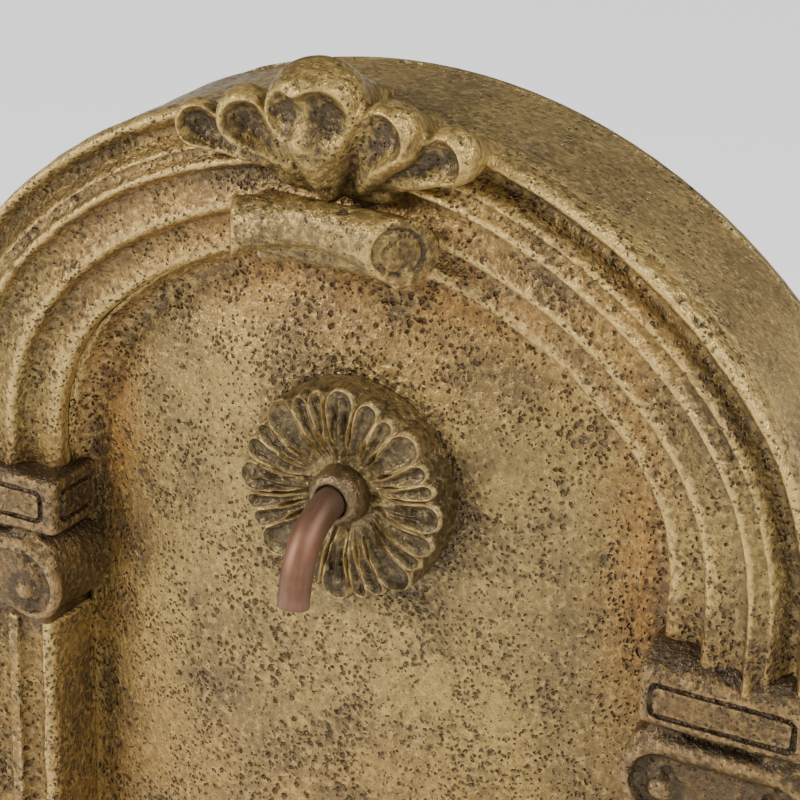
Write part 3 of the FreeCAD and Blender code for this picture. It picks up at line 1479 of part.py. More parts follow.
door_face = rear_plane
door_back = door_face - size["door_thickness"]
door_foot = size["door_start"] + size["door_gap"]
door_head = door_top - size["door_gap"]
door_side = size["door_half_width"] - size["door_gap"]
pin_across = -size["door_half_width"]
pin_back = door_face + size["knuckle_radius"] + size["running_gap"]
door_panel = block("door_panel", (-door_side, door_back, door_foot), (door_side, door_face, door_head))
grommet_hole = size["grommet_radius"] + size["grommet_wall"]
grommet_up = size["door_start"] + size["grommet_rise"]
cord_hole = cylinder(
    "cord_hole", grommet_hole, size["door_thickness"], (size["grommet_side"], door_back, grommet_up), "y"
)
keep("access_door", cut("access_door_shape", door_panel, [cord_hole]))

cord_spot = (size["grommet_side"], door_back - lip, grommet_up)
cord_length = size["door_thickness"] + lip * 2
cord_flange = grommet_hole + size["grommet_flange"]
cord_grommet = fuse(
    "cord_grommet_solid",
    [
        cylinder("cord_grommet_core", grommet_hole, cord_length, cord_spot, "y"),
        cylinder("cord_grommet_inner", cord_flange, lip, cord_spot, "y"),
        cylinder("cord_grommet_outer", cord_flange, lip, (cord_spot[0], door_face, grommet_up), "y"),
    ],
)
cord_bore = cylinder("cord_grommet_bore", size["grommet_radius"], cord_length, cord_spot, "y")
keep("cord_grommet", cut("cord_grommet_shape", cord_grommet, [cord_bore]))

hinge_middle = (door_foot + door_head) / 2
leaf_back = door_face + size["leaf_thickness"]
knuckle_gap = size["running_gap"]
door_leaves = []
frame_leaves = []
pins = []


def knuckle(name, up, bore_radius):
    spot = (pin_across, pin_back, up)
    barrel = cylinder(f"{name}_barrel", size["knuckle_radius"], size["knuckle_length"], spot)
    bore = cylinder(f"{name}_bore", bore_radius, size["knuckle_length"], spot)
    return barrel, bore


for index, sign in enumerate((-1, 1)):
    foot = hinge_middle + size["hinge_spacing"] / 2 * sign - size["knuckle_length"] * 1.5
    middle_foot = foot + size["knuckle_length"] + knuckle_gap
    head_foot = middle_foot + size["knuckle_length"] + knuckle_gap
    head = head_foot + size["knuckle_length"]
    plate = block(
        f"door_leaf_plate_{index}",
        (pin_across + size["knuckle_radius"] / 2, door_face, middle_foot),
        (pin_across + size["leaf_width"], leaf_back, middle_foot + size["knuckle_length"]),
    )
    barrel, bore = knuckle(f"door_knuckle_{index}", middle_foot, size["pin_radius"] + size["slip_gap"])
    door_leaves.append(cut(f"door_leaf_{index}", fuse(f"door_leaf_solid_{index}", [plate, barrel]), [bore]))
    solids = []
    bores = []
    for step, low in enumerate((foot, head_foot)):
        barrel, bore = knuckle(f"frame_knuckle_{index}_{step}", low, size["pin_radius"])
        solids.append(barrel)
        bores.append(bore)
        solids.append(
            block(
                f"frame_tab_{index}_{step}",
                (pin_across - size["knuckle_radius"] * 2, door_face, low),
                (pin_across - size["knuckle_radius"] / 2, leaf_back, low + size["knuckle_length"]),
            )
        )
    solids.append(
        block(
            f"frame_plate_{index}",
            (pin_across - size["leaf_width"], door_face, foot),
            (pin_across - size["knuckle_radius"] * 2, leaf_back, head),
        )
    )
    frame_leaves.append(cut(f"frame_leaf_{index}", fuse(f"frame_leaf_solid_{index}", solids), bores))
    pins.append(cylinder(f"hinge_pin_{index}", size["pin_radius"], head - foot, (pin_across, pin_back, foot)))
keep("door_leaves", gather("door_leaf_group", door_leaves))
keep("frame_leaves", gather("frame_leaf_group", frame_leaves))
keep("hinge_pins", gather("hinge_pin_group", pins))

button_across = size["door_half_width"] + size["button_offset"]
button_up = hinge_middle + size["button_length"] / 2
button_face = door_face + size["running_gap"] * 2
button = new_body("turn_button_body")
plan = new_sketch(button, "button_plan", "XZ_Plane", -button_face)
end_round = size["button_radius"]
draw(
    plan,
    [
        (end_round, -size["button_length"]),
        (end_round, ZERO, end_round, 1),
        (ZERO, end_round, end_round, 1),
        (-end_round, ZERO),
        (-end_round, -size["button_length"], end_round, 1),
        (ZERO, -size["button_length"] - end_round, end_round, 1),
    ],
)
circle(plan, ZERO, ZERO, size["button_screw_radius"] + size["slip_gap"])
extrude(button, "Pad", plan, size["button_thickness"], backwards=True)
place(button, (button_across, 0, button_up))
keep("turn_button", button)

head_start = button_face + size["button_thickness"] + size["running_gap"]
screw_depth = size["bay_wall"] - size["door_gap"]
screw_start = door_face - screw_depth
screw_spot = (button_across, screw_start, button_up)
screw_radius = size["button_screw_radius"]
button_screw_hole = cylinder("button_screw_hole", screw_radius, screw_depth, screw_spot, "y")
screw_shank = cylinder("button_screw_shank", screw_radius, head_start - screw_start, screw_spot, "y")
screw_head = cylinder(
    "button_screw_head",
    size["button_head_radius"],
    size["button_screw_radius"],
    (button_across, head_start, button_up),
    "y",
)
keep("turn_button_screw", fuse("turn_button_screw_solid", [screw_shank, screw_head]))

# Tower brackets: angles that bolt the tower's side walls down to the deck

inside_wall = tower_half_width - size["casting_wall"]
thick = size["bracket_thickness"]
bracket_middle = (panel_back + cover_plane) / 2
bracket_front = bracket_middle - size["bracket_width"] / 2
bracket_rear = bracket_middle + size["bracket_width"] / 2
bolt_across = inside_wall - size["bracket_leg"] / 2
bolt_foot = deck - size["bay_wall"] - size["bolt_head"]
bolt_length = size["bay_wall"] + thick + size["bolt_head"]
bolt_spot = (bolt_across, bracket_middle, bolt_foot)
head_spot = (bolt_across, bracket_middle, deck + thick)
bolt_shank = cylinder("right_bolt_shank", size["bolt_radius"], bolt_length, bolt_spot)
bolt_head = cylinder("right_bolt_head", size["bolt_head_radius"], size["bolt_head"], head_spot)
bolt_nut = cylinder("right_bolt_nut", size["bolt_head_radius"], size["bolt_head"], bolt_spot)
right_bolt = fuse("right_bolt", [bolt_shank, bolt_head, bolt_nut])
left_bolt = mirror("left_bolt", right_bolt)
right_angle = fuse(
    "right_angle",
    [
        block(
            "right_angle_foot",
            (inside_wall - size["bracket_leg"], bracket_front, deck),
            (inside_wall, bracket_rear, deck + thick),
        ),
        block(
            "right_angle_leg",
            (inside_wall - thick, bracket_front, deck),
            (inside_wall, bracket_rear, deck + size["bracket_leg"]),
        ),
    ],
)
right_bracket = cut("right_bracket", right_angle, [right_bolt])
keep("tower_brackets", gather("tower_bracket_group", [right_bracket, mirror("left_bracket", right_bracket)]))
keep("bracket_bolts", gather("bracket_bolt_group", [right_bolt, left_bolt]))
basin_tools = basin_openings + [button_screw_hole, right_bolt, left_bolt]
keep("basin", cut("basin_shape", basin, basin_tools))

# Check every object, then write one file for each piece

doc.recompute()
problems = [
    f"{item.Name} {item.State}" for item in doc.Objects if "Invalid" in item.State or "Error" in item.State
]
problems += [
    f"{piece.Label} has no valid shape"
    for piece in pieces
    if piece.Shape.isNull() or not piece.Shape.isValid()
]
if problems:
    raise RuntimeError("; ".join(problems))

os.makedirs("parts", exist_ok=True)
for piece in pieces:
    piece.Shape.exportStep(f"parts/{piece.Label}.step")
    print(piece.Label, round(piece.Shape.Volume / 1000, 2), "cm3,", len(piece.Shape.Solids), "solids")
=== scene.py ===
import bpy
import itertools
import math
import numpy as np
from mathutils import Matrix, Vector
from types import SimpleNamespace


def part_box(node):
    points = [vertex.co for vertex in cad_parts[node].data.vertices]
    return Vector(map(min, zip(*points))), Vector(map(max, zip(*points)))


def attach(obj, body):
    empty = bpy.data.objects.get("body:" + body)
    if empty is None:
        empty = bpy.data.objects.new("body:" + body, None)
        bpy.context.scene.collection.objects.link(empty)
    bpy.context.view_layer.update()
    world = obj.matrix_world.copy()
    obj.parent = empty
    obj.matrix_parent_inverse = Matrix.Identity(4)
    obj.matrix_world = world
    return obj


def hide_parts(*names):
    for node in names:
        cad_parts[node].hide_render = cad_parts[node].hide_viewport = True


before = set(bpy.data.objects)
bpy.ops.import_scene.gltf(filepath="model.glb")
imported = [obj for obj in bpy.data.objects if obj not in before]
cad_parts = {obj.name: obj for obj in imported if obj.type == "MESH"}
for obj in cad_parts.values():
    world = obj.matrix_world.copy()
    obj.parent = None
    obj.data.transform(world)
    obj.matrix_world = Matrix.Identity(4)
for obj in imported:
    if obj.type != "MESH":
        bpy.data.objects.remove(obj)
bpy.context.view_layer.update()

# Floor pads
# Five moulded rubber discs under the plinth, glued into its foot. They keep the casting
# off the ground and let water drain from under it.


def new_finish(name):
    """An empty material with its shader, and short ways to add and join nodes."""
    material = bpy.data.materials.new(name)
    material.use_nodes = True
    tree = material.node_tree
    shader = tree.nodes["Principled BSDF"]

    def add(kind, **settings):
        node = tree.nodes.new(f"ShaderNode{kind}")
        for key, value in settings.items():
            if hasattr(node, key):
                setattr(node, key, value)
            else:
                node.inputs[key.replace("_", " ").title()].default_value = value
        return node

    def math_node(operation, first, second=0.0, clamp=False):
        node = add("Math", operation=operation, use_clamp=clamp)
        for socket, value in zip(node.inputs, (first, second)):
            if isinstance(value, (int, float)):
                socket.default_value = value
            else:
                tree.links.new(value, socket)
        return node.outputs[0]

    def span(value, low, high, out_low=0.0, out_high=1.0):
        node = add("MapRange")
        tree.links.new(value, node.inputs["Value"])
        for key, number in zip(("From Min", "From Max", "To Min", "To Max"), (low, high, out_low, out_high)):
            node.inputs[key].default_value = number
        return node.outputs["Result"]

    def mix(share, first, second):
        node = add("Mix", data_type="RGBA")
        for socket, value in zip((node.inputs[0], node.inputs[6], node.inputs[7]), (share, first, second)):
            if isinstance(value, (int, float)):
                socket.default_value = value
            elif isinstance(value, tuple):
                socket.default_value = (*value, 1.0)
            else:
                tree.links.new(value, socket)
        return node.outputs[2]

    def relief(height, strength, distance):
        node = add("Bump")
        node.inputs["Strength"].default_value = strength
        node.inputs["Distance"].default_value = distance
        tree.links.new(height, node.inputs["Height"])
        tree.links.new(node.outputs["Normal"], shader.inputs["Normal"])
        tree.links.new(node.outputs["Normal"], shader.inputs["Coat Normal"])

    use = SimpleNamespace(add=add, math=math_node, span=span, mix=mix, relief=relief, join=tree.links.new)
    return material, shader, use


def plain_finish(name, colour, dark, roughness, metallic=0.0, size=90.0, streak=(1, 1, 1), depth=0.0002):
    """A finish with a soft cloud of tone, a streak direction and a fine relief."""
    material, shader, use = new_finish(name)
    place = use.add("TexCoord")
    turn = use.add("Mapping")
    turn.inputs["Scale"].default_value = streak
    use.join(place.outputs["Object"], turn.inputs["Vector"])
    cloud = use.add("TexNoise", scale=size, detail=5.0)
    grain = use.add("TexNoise", scale=size * 9, detail=2.0)
    for node in (cloud, grain):
        use.join(turn.outputs["Vector"], node.inputs["Vector"])
    tone = use.span(cloud.outputs["Fac"], 0.32, 0.68)
    use.join(use.mix(tone, dark, colour), shader.inputs["Base Color"])
    rough = use.span(grain.outputs["Fac"], 0.3, 0.7, roughness - 0.07, roughness + 0.1)
    use.join(rough, shader.inputs["Roughness"])
    shader.inputs["Metallic"].default_value = metallic
    use.relief(grain.outputs["Fac"], 0.5, depth)
    return material


def in_scene(name, data):
    """A new object that shows a mesh, a lamp or a camera."""
    thing = bpy.data.objects.new(name, data)
    bpy.context.scene.collection.objects.link(thing)
    return thing


def settle(name, mesh, material, body, slot, *nodes):
    """Put a finished mesh into the scene, riding on its body, in place of its plain solids."""
    piece = in_scene(name, mesh)
    mesh.materials.clear()
    mesh.materials.append(material)
    mesh.polygons.foreach_set("material_index", np.zeros(len(mesh.polygons), np.int32))
    mesh.polygons.foreach_set("use_smooth", np.ones(len(mesh.polygons), bool))
    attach(piece, body)
    if nodes:
        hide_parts(*nodes)


def baked(holder):
    """The evaluated mesh of an object with modifiers, and the object removed."""
    graph = bpy.context.evaluated_depsgraph_get()
    mesh = bpy.data.meshes.new_from_object(holder.evaluated_get(graph))
    source = holder.data
    bpy.data.objects.remove(holder)
    bpy.data.meshes.remove(source)
    return mesh


def set_out(name, spots, turn, build, sizes, material):
    """Geometry Nodes: one small piece, built from named sizes, set out on a list of spots."""
    tree = bpy.data.node_groups.new(name, "GeometryNodeTree")
    tree.interface.new_socket("Geometry", in_out="INPUT", socket_type="NodeSocketGeometry")
    for key, value in sizes.items():
        socket = tree.interface.new_socket(key, in_out="INPUT", socket_type="NodeSocketFloat")
        socket.default_value = value
    tree.interface.new_socket("Geometry", in_out="OUTPUT", socket_type="NodeSocketGeometry")
    entry = tree.nodes.new("NodeGroupInput")
    leave = tree.nodes.new("NodeGroupOutput")
    copies = tree.nodes.new("GeometryNodeInstanceOnPoints")
    copies.inputs["Rotation"].default_value = turn
    tree.links.new(entry.outputs["Geometry"], copies.inputs["Points"])
    tree.links.new(build(tree, entry), copies.inputs["Instance"])
    real = tree.nodes.new("GeometryNodeRealizeInstances")
    paint = tree.nodes.new("GeometryNodeSetMaterial")
    paint.inputs["Material"].default_value = material
    tree.links.new(copies.outputs["Instances"], real.inputs["Geometry"])
    tree.links.new(real.outputs["Geometry"], paint.inputs["Geometry"])
    tree.links.new(paint.outputs["Geometry"], leave.inputs["Geometry"])
    cloud = bpy.data.meshes.new(f"{name}_spots")
    cloud.from_pydata([tuple(spot) for spot in spots], [], [])
    holder = in_scene(f"{name}_holder", cloud)
    holder.modifiers.new("copies", "NODES").node_group = tree
    return baked(holder)


def turned_disc(tree, entry, radius, depth, sides, bevel_share):
    """Nodes of a disc with a smaller top, as a moulded pad or a screw head has."""
    lower = tree.nodes.new("GeometryNodeMeshCone")
    lower.inputs["Vertices"].default_value = sides
    tree.links.new(entry.outputs[radius], lower.inputs["Radius Bottom"])
    share = tree.nodes.new("ShaderNodeMath")
    share.operation = "MULTIPLY"
    share.inputs[1].default_value = bevel_share
    tree.links.new(entry.outputs[radius], share.inputs[0])
    tree.links.new(share.outputs[0], lower.inputs["Radius Top"])
    tree.links.new(entry.outputs[depth], lower.inputs["Depth"])
    return lower.outputs["Mesh"]


rubber = plain_finish("black_rubber", (0.030, 0.029, 0.028), (0.012, 0.012, 0.012), 0.62, size=160.0)
pad_low, pad_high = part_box("floor_pads")
pad_height = pad_high.z - pad_low.z
pad_spots = [(0.250, 0.188), (-0.250, 0.188), (0.250, -0.020), (-0.250, -0.020), (0.0, -0.190)]
pads = set_out(
    "floor_pads_set",
    [(x, y, 0.0) for x, y in pad_spots],
    (0.0, 0.0, 0.0),
    lambda tree, entry: turned_disc(tree, entry, "Radius", "Height", 40, 0.9),
    {"Radius": 0.010, "Height": pad_height},
    rubber,
)
settle("moulded_pads", pads, rubber, "fountain", "black_rubber", "floor_pads")

# Plinth
# A cast ring with a moulded bow front under the basin. It is cast stone like the rest,
# painted in the same antique bronze patina, with soft edges and small blow holes.


def cell_mark(cell, salt):
    """A whole number for each cell of a grid, from the cell's place in it."""
    return (cell[:, 0] * 73856093) ^ (cell[:, 1] * 19349663) ^ (cell[:, 2] * 83492791) ^ salt


def scramble(mark, turn=0):
    """The next whole number in a row of random ones."""
    mark = ((mark ^ (mark >> 13)) * 1274126177 + 144665 * turn) & 0x7FFFFFFF
    return mark ^ (mark >> 15)


def noise(points, size, seed):
    """A smooth random field from -1 to 1 whose lumps are about size across."""
    cell = points / size + 4000.0
    base = np.floor(cell).astype(np.int64)
    part = cell - base
    part = part * part * (3 - 2 * part)
    total = np.zeros(len(points))
    for step in itertools.product((0, 1), repeat=3):
        mark = scramble(cell_mark(base + np.array(step), seed * 2654435))
        weight = np.prod(np.where(np.array(step) == 1, part, 1 - part), axis=1)
        total += ((mark & 0xFFFF) / 32767.5 - 1) * weight
    return total


def blow_holes(points, cell, share, seed):
    """Depth, 0 to 1, of round holes that are scattered one to a cell, in a share of the cells."""
    drift = np.stack([noise(points, cell * 0.4, seed + turn) for turn in range(3)], axis=1)
    points = points + 0.16 * cell * drift
    base = np.floor(points / cell).astype(np.int64) + 4000
    depth = np.zeros(len(points))
    for step in itertools.product((-1, 0, 1), repeat=3):
        key = base + np.array(step)
        mark = cell_mark(key, seed * 961748)
        draws = []
        for turn in range(5):
            mark = scramble(mark, turn)
            draws.append((mark & 0xFFFF) / 65535.0)
        middle = (key - 4000 + np.stack(draws[:3], axis=1)) * cell
        radius = cell * (0.14 + 0.2 * draws[3])
        near = 1 - (((points - middle) ** 2).sum(1) / radius**2)
        depth = np.maximum(depth, np.where(draws[4] < share, near, 0))
    return np.sqrt(np.clip(depth, 0, 1))


HOLE_SPACING = 0.011
HOLE_DEPTH = 0.0012


def weather(mesh, reach=0.005, lump=0.0005, holes=0.1, stain=None, grime_and_shade=None, top_grime_and_shade=0.0, seed=1):
    """Roughen a casting, and store on its points what the finish reads: the wear value is above 0 on
    edges and below 0 in hollows, and it also takes the painted shade and grime that the shade function
    gives, and a painted shade, part grime, on what faces up; hole is 1 in a blow hole, and rust is 1
    where the wash is orange. Reach is the size of an edge, lump the height of the casting's swell and
    holes the share of cells with a blow hole; the top shade sets how much darker, part grime and part
    painted shade, what faces up is made."""
    count = len(mesh.vertices)
    points = np.empty(count * 3)
    mesh.vertices.foreach_get("co", points)
    points = points.reshape(-1, 3)
    normals = np.empty(count * 3, np.float32)
    mesh.vertex_normals.foreach_get("vector", normals)
    normals = normals.reshape(-1, 3)
    ends = np.empty(len(mesh.edges) * 2, np.int32)
    mesh.edges.foreach_get("vertices", ends)
    first, second = ends[0::2], ends[1::2]
    step = np.median(np.linalg.norm(points[first] - points[second], axis=1))
    rounds = int(min(90, 4 * (reach / step) ** 2 + 2))
    degree = np.maximum(np.bincount(ends, minlength=count), 1)
    settled = points.copy()
    for _ in range(rounds):
        for axis in range(3):
            value = settled[:, axis]
            around = np.bincount(first, value[second], count) + np.bincount(second, value[first], count)
            settled[:, axis] = value + 0.5 * (around / degree - value)
    wear_and_shade = ((points - settled) * normals).sum(1) / (reach * 0.36)
    # Painted shade and grime from the shade function, and a painted shade, part grime, on faces that point
    # up, darken the wear value.
    if grime_and_shade:
        wear_and_shade -= grime_and_shade(points)
    wear_and_shade -= top_grime_and_shade * np.clip((normals[:, 2] - 0.55) / 0.3, 0, 1)
    hole = blow_holes(points, HOLE_SPACING, holes, seed)
    swell = noise(points, 0.022, 7) + 0.55 * noise(points, 0.009, 8) - 1.5
    points += normals * (lump * swell - HOLE_DEPTH * hole)[:, None]
    rust = stain(points) if stain else np.zeros(count)
    mesh.vertices.foreach_set("co", points.ravel())
    for key, value in (("wear_and_shade", np.clip(wear_and_shade, -1, 1)), ("hole", hole), ("rust", rust)):
        mesh.attributes.new(key, "FLOAT", "POINT").data.foreach_set("value", value.astype(np.float32))
    mesh.update()
    return mesh


def patina(
    name, gold=(0.340, 0.230, 0.070), shade=(0.128, 0.084, 0.033), pits=1.0, crust=0.5, grime=1.0, rub=1.45
):
    """Antique bronze patina: gold-tan paint over brown, dark wash in the pits and hollows,
    an orange wash in places and pale gold rubbed over the edges, under a satin lacquer."""
    orange_wash = (0.27, 0.112, 0.018)
    brown_wash = (0.062, 0.040, 0.018)
    hollow_wash = (0.042, 0.027, 0.014)
    pit_dark, pit_pale = (0.030, 0.020, 0.013), (0.096, 0.063, 0.034)
    pale_gold = tuple(1.35 * value for value in gold)
    rubbed_gold = tuple(rub * value + 0.02 for value in gold)
    material, shader, use = new_finish(name)
    add, join, span, mix, sums = use.add, use.join, use.span, use.mix, use.math
    place = add("TexCoord").outputs["Object"]
    drift = add("TexNoise", scale=260.0, detail=2.0)
    join(place, drift.inputs["Vector"])
    bend = add("VectorMath", operation="MULTIPLY_ADD")
    join(drift.outputs["Color"], bend.inputs[0])
    bend.inputs[1].default_value = (0.0040, 0.0040, 0.0040)
    join(place, bend.inputs[2])

    def field(kind, size, detail=3.0, source=place):
        node = add(kind, scale=size)
        if kind == "TexNoise":
            node.inputs["Detail"].default_value = detail
        join(source, node.inputs["Vector"])
        return node.outputs["Distance" if kind == "TexVoronoi" else "Fac"]

    crowd = field("TexNoise", 46.0)
    crowd_wide = field("TexNoise", 17.0)
    small = field("TexVoronoi", 370.0, source=bend.outputs[0])
    large = field("TexVoronoi", 185.0, source=bend.outputs[0])
    fine = field("TexNoise", 820.0, 3.0)
    mottle = field("TexNoise", 300.0, 4.0)
    cloud = field("TexNoise", 24.0, 6.0)
    smear = field("TexNoise", 9.0, 5.0)
    small_reach = span(crowd, 0.34, 0.62, 0.10 + 0.10 * pits, 0.10 + 0.36 * pits)
    large_reach = span(crowd_wide, 0.38, 0.64, 0.05 + 0.05 * pits, 0.05 + 0.33 * pits)
    small_bowl = sums("MAXIMUM", sums("SUBTRACT", small_reach, small), 0.0)
    large_bowl = sums("MAXIMUM", sums("SUBTRACT", large_reach, large), 0.0)
    wear_and_shade = add("Attribute", attribute_name="wear_and_shade").outputs["Fac"]
    hole = add("Attribute", attribute_name="hole").outputs["Fac"]
    rust = add("Attribute", attribute_name="rust").outputs["Fac"]
    pit = sums("MAXIMUM", sums("MULTIPLY", small_bowl, 8.0, True), sums("MULTIPLY", large_bowl, 9.0, True))
    pit = sums("MAXIMUM", pit, span(hole, 0.25, 0.8))
    tone = mix(span(cloud, 0.34, 0.60), shade, gold)
    dull = tuple(0.42 * value + grey for value, grey in zip(gold, (0.002, 0.005, 0.012)))
    tone = mix(sums("MULTIPLY", span(smear, 0.46, 0.62), 0.45), tone, dull)
    orange = sums("MULTIPLY", rust, span(cloud, 0.25, 0.55))
    tone = mix(sums("MULTIPLY", orange, 0.85), tone, orange_wash)
    wash = sums("MULTIPLY", span(mottle, 0.51, 0.36), span(crowd, 0.34, 0.60, 0.3 * crust, crust))
    tone = mix(wash, tone, brown_wash)
    tone = mix(sums("MULTIPLY", span(mottle, 0.52, 0.66), 0.45), tone, pale_gold)
    tone = mix(sums("MULTIPLY", span(fine, 0.48, 0.34), 0.5), tone, shade)
    # The wear value darkens hollows with the dark wash, and it also darkens the places where a shade function
    # gave painted shade.
    broken = sums("ADD", wear_and_shade, span(mottle, 0.34, 0.66, -0.35, 0.35))
    rubbed = sums("MULTIPLY", span(broken, 0.2, 0.95), 0.8)
    tone = mix(rubbed, tone, rubbed_gold)
    hollow = sums("MULTIPLY", span(broken, -0.15, -0.90), 0.85 * grime)
    tone = mix(hollow, tone, hollow_wash)
    dark = mix(span(fine, 0.42, 0.60), pit_dark, pit_pale)
    tone = mix(sums("MULTIPLY", pit, 0.84), tone, dark)
    join(tone, shader.inputs["Base Color"])
    lift = sums("ADD", sums("MULTIPLY", fine, 0.30), sums("MULTIPLY", mottle, 0.45 + 0.9 * crust))
    sink = sums("ADD", sums("MULTIPLY", small_bowl, 1.9), sums("MULTIPLY", large_bowl, 3.8))
    use.relief(sums("SUBTRACT", lift, sink), 1.0, 0.0015)
    join(span(mottle, 0.38, 0.62, 0.47, 0.30), shader.inputs["Roughness"])
    shader.inputs["Metallic"].default_value = 0.45
    shader.inputs["Specular IOR Level"].default_value = 0.38
    shader.inputs["Specular Tint"].default_value = (1.0, 0.80, 0.50, 1.0)
    shader.inputs["Coat Weight"].default_value = 0.20
    shader.inputs["Coat Roughness"].default_value = 0.16
    return material


def softened(node, voxel, passes):
    """A copy of a packed casting with its arrises melted soft, as a worn mould leaves them."""
    holder = in_scene(f"{node}_copy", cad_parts[node].data.copy())
    weld = holder.modifiers.new("weld", "WELD")
    weld.merge_threshold = 0.00002
    remesh = holder.modifiers.new("remesh", "REMESH")
    remesh.mode = "VOXEL"
    remesh.voxel_size = voxel
    smooth = holder.modifiers.new("smooth", "SMOOTH")
    smooth.factor = 0.5
    smooth.iterations = passes
    return baked(holder)


cast_stone = patina("patina_stone")
plinth_mesh = weather(softened("plinth", 0.0038, 3), reach=0.009, seed=3)
settle("moulded_plinth", plinth_mesh, cast_stone, "fountain", "patina_casting", "plinth")

# Basin
# One heavy casting: a bow-front bowl with a rolled rim, the deck that carries the tower, and a
# dry bay behind the bowl. It stands on the plinth and is painted like it.

basin_mesh = weather(softened("basin", 0.0046, 3), reach=0.010, seed=4)
settle("cast_basin", basin_mesh, cast_stone, "fountain", "patina_casting", "basin")

# Drain plug
# A turned rubber bung, pushed into a bore in the side of the bowl. Its round end is pulled to
# empty the water.


def coat(material, *nodes):
    """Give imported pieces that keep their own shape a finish."""
    for node in nodes:
        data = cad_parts[node].data
        data.materials.clear()
        data.materials.append(material)


coat(rubber, "drain_plug")

# Pump and its strainer
# A small moulded pump stands on suction feet in the bowl: motor housing, chamber, a rotor with
# straight blades on a ceramic shaft, a slotted strainer and the slide that sets the flow.

pump_plastic = plain_finish("pump_plastic", (0.042, 0.042, 0.046), (0.020, 0.020, 0.022), 0.42, size=220.0)
rotor_plastic = plain_finish("rotor_plastic", (0.115, 0.115, 0.12), (0.06, 0.06, 0.065), 0.4, size=200.0)
ceramic = plain_finish("ceramic_bearing", (0.78, 0.76, 0.72), (0.66, 0.64, 0.60), 0.18, size=140.0)
slide_plastic = plain_finish("slide_plastic", (0.30, 0.045, 0.03), (0.19, 0.025, 0.02), 0.4, size=220.0)
coat(pump_plastic, "pump_body", "pump_volute", "strainer", "hose_clips")
coat(rotor_plastic, "impeller")
coat(slide_plastic, "flow_slider")
coat(ceramic, "pump_shaft", "shaft_bushes")
coat(rubber, "pump_feet", "hose_grommet", "cord_grommet", "spout_seal", "bulkhead_washer")

# Pump cover
# A loose hood that hides the pump, cast and painted like the bowl, with water slots at its foot
# and a notch for the hose. It stands on the bowl's floor and lifts straight off.

hood_mesh = weather(softened("pump_cover", 0.0017, 3), reach=0.004, seed=5)
settle("pump_hood", hood_mesh, cast_stone, "pump_cover", "patina_casting", "pump_cover")

# Supply hose and its clamps
# Clear flexible hose, pushed over the pump's outlet and the barb of the elbow behind the spout,
# and held by steel bands. The brackets that hold the tower on the deck are of the same steel.

hose_finish, hose_shader, hose_use = new_finish("clear_hose")
hose_cloud = hose_use.add("TexNoise", scale=70.0, detail=4.0)
hose_use.join(hose_use.add("TexCoord").outputs["Object"], hose_cloud.inputs["Vector"])
hose_tone = hose_use.mix(
    hose_use.span(hose_cloud.outputs["Fac"], 0.3, 0.7), (0.56, 0.60, 0.56), (0.74, 0.77, 0.74)
)
hose_use.join(hose_tone, hose_shader.inputs["Base Color"])
hose_shader.inputs["Roughness"].default_value = 0.2
hose_shader.inputs["Transmission Weight"].default_value = 0.6
hose_shader.inputs["IOR"].default_value = 1.5
coat(hose_finish, "supply_hose")
steel = plain_finish(
    "zinc_steel", (0.56, 0.56, 0.57), (0.40, 0.40, 0.41), 0.34, metallic=1.0, size=120.0, streak=(1, 1, 6)
)
coat(steel, "lower_hose_clamp", "upper_hose_clamp", "tower_brackets", "bracket_bolts")

# Tower shell and niche panel
# The tower is a hollow arched casting. Its front is a shallow pillowed panel that rises to the
# middle and sinks into a cove round the edge; its flanks run straight back to the rear cover.

# In metres: the face plane, the jamb from the middle, the springing over the floor, the arch's shoulder
# radius, rise and crown radius, the deck, the capitals' tops and the rosette's middle over the floor.
FACE = 0.129
JAMB = 0.170
SPRING = 0.890
SHOULDER = 0.100
RISE = 0.130
CROWN = (JAMB**2 + RISE**2 - 2 * JAMB * SHOULDER) / (2 * (RISE - SHOULDER))
DECK = 0.330
CAPITAL_TOP = 0.870
ROSETTE_UP = 0.899


def arch_line(foot, leg_count, shoulder_count, crown_count):
    """Points and outward directions along the niche's edge, from the right foot to the left."""
    turn = math.atan2(CROWN - RISE, JAMB - SHOULDER)
    points, outward = [], []
    for height in np.linspace(foot, SPRING, leg_count, endpoint=False):
        points.append((JAMB, height))
        outward.append((1.0, 0.0))
    for angle in np.linspace(0, turn, shoulder_count, endpoint=False):
        ray = (math.cos(angle), math.sin(angle))
        points.append((JAMB - SHOULDER + SHOULDER * ray[0], SPRING + SHOULDER * ray[1]))
        outward.append(ray)
    for angle in np.linspace(turn, math.pi / 2, crown_count):
        ray = (math.cos(angle), math.sin(angle))
        points.append((CROWN * ray[0], SPRING + RISE - CROWN + CROWN * ray[1]))
        outward.append(ray)
    points = np.array(points)
    outward = np.array(outward)
    mirror = np.array([-1.0, 1.0])
    return np.vstack([points, points[-2::-1] * mirror]), np.vstack([outward, outward[-2::-1] * mirror])


def grid_faces(rows, columns, close_rows=False, close_columns=False):
    """Quads over a grid of points that is stored row by row."""
    row = np.arange(rows if close_rows else rows - 1)
    column = np.arange(columns if close_columns else columns - 1)
    a = row[:, None] * columns + column[None, :]
    b = row[:, None] * columns + (column[None, :] + 1) % columns
    c = ((row[:, None] + 1) % rows) * columns + (column[None, :] + 1) % columns
    d = ((row[:, None] + 1) % rows) * columns + column[None, :]
    return np.stack([a, b, c, d], axis=-1).reshape(-1, 4)


def make_mesh(name, points, faces, extra_faces=()):
    """A mesh from arrays of points and quads, and lists of larger faces."""
    mesh = bpy.data.meshes.new(name)
    mesh.from_pydata(points.tolist(), [], faces.tolist() + [list(face) for face in extra_faces])
    mesh.update()
    return mesh


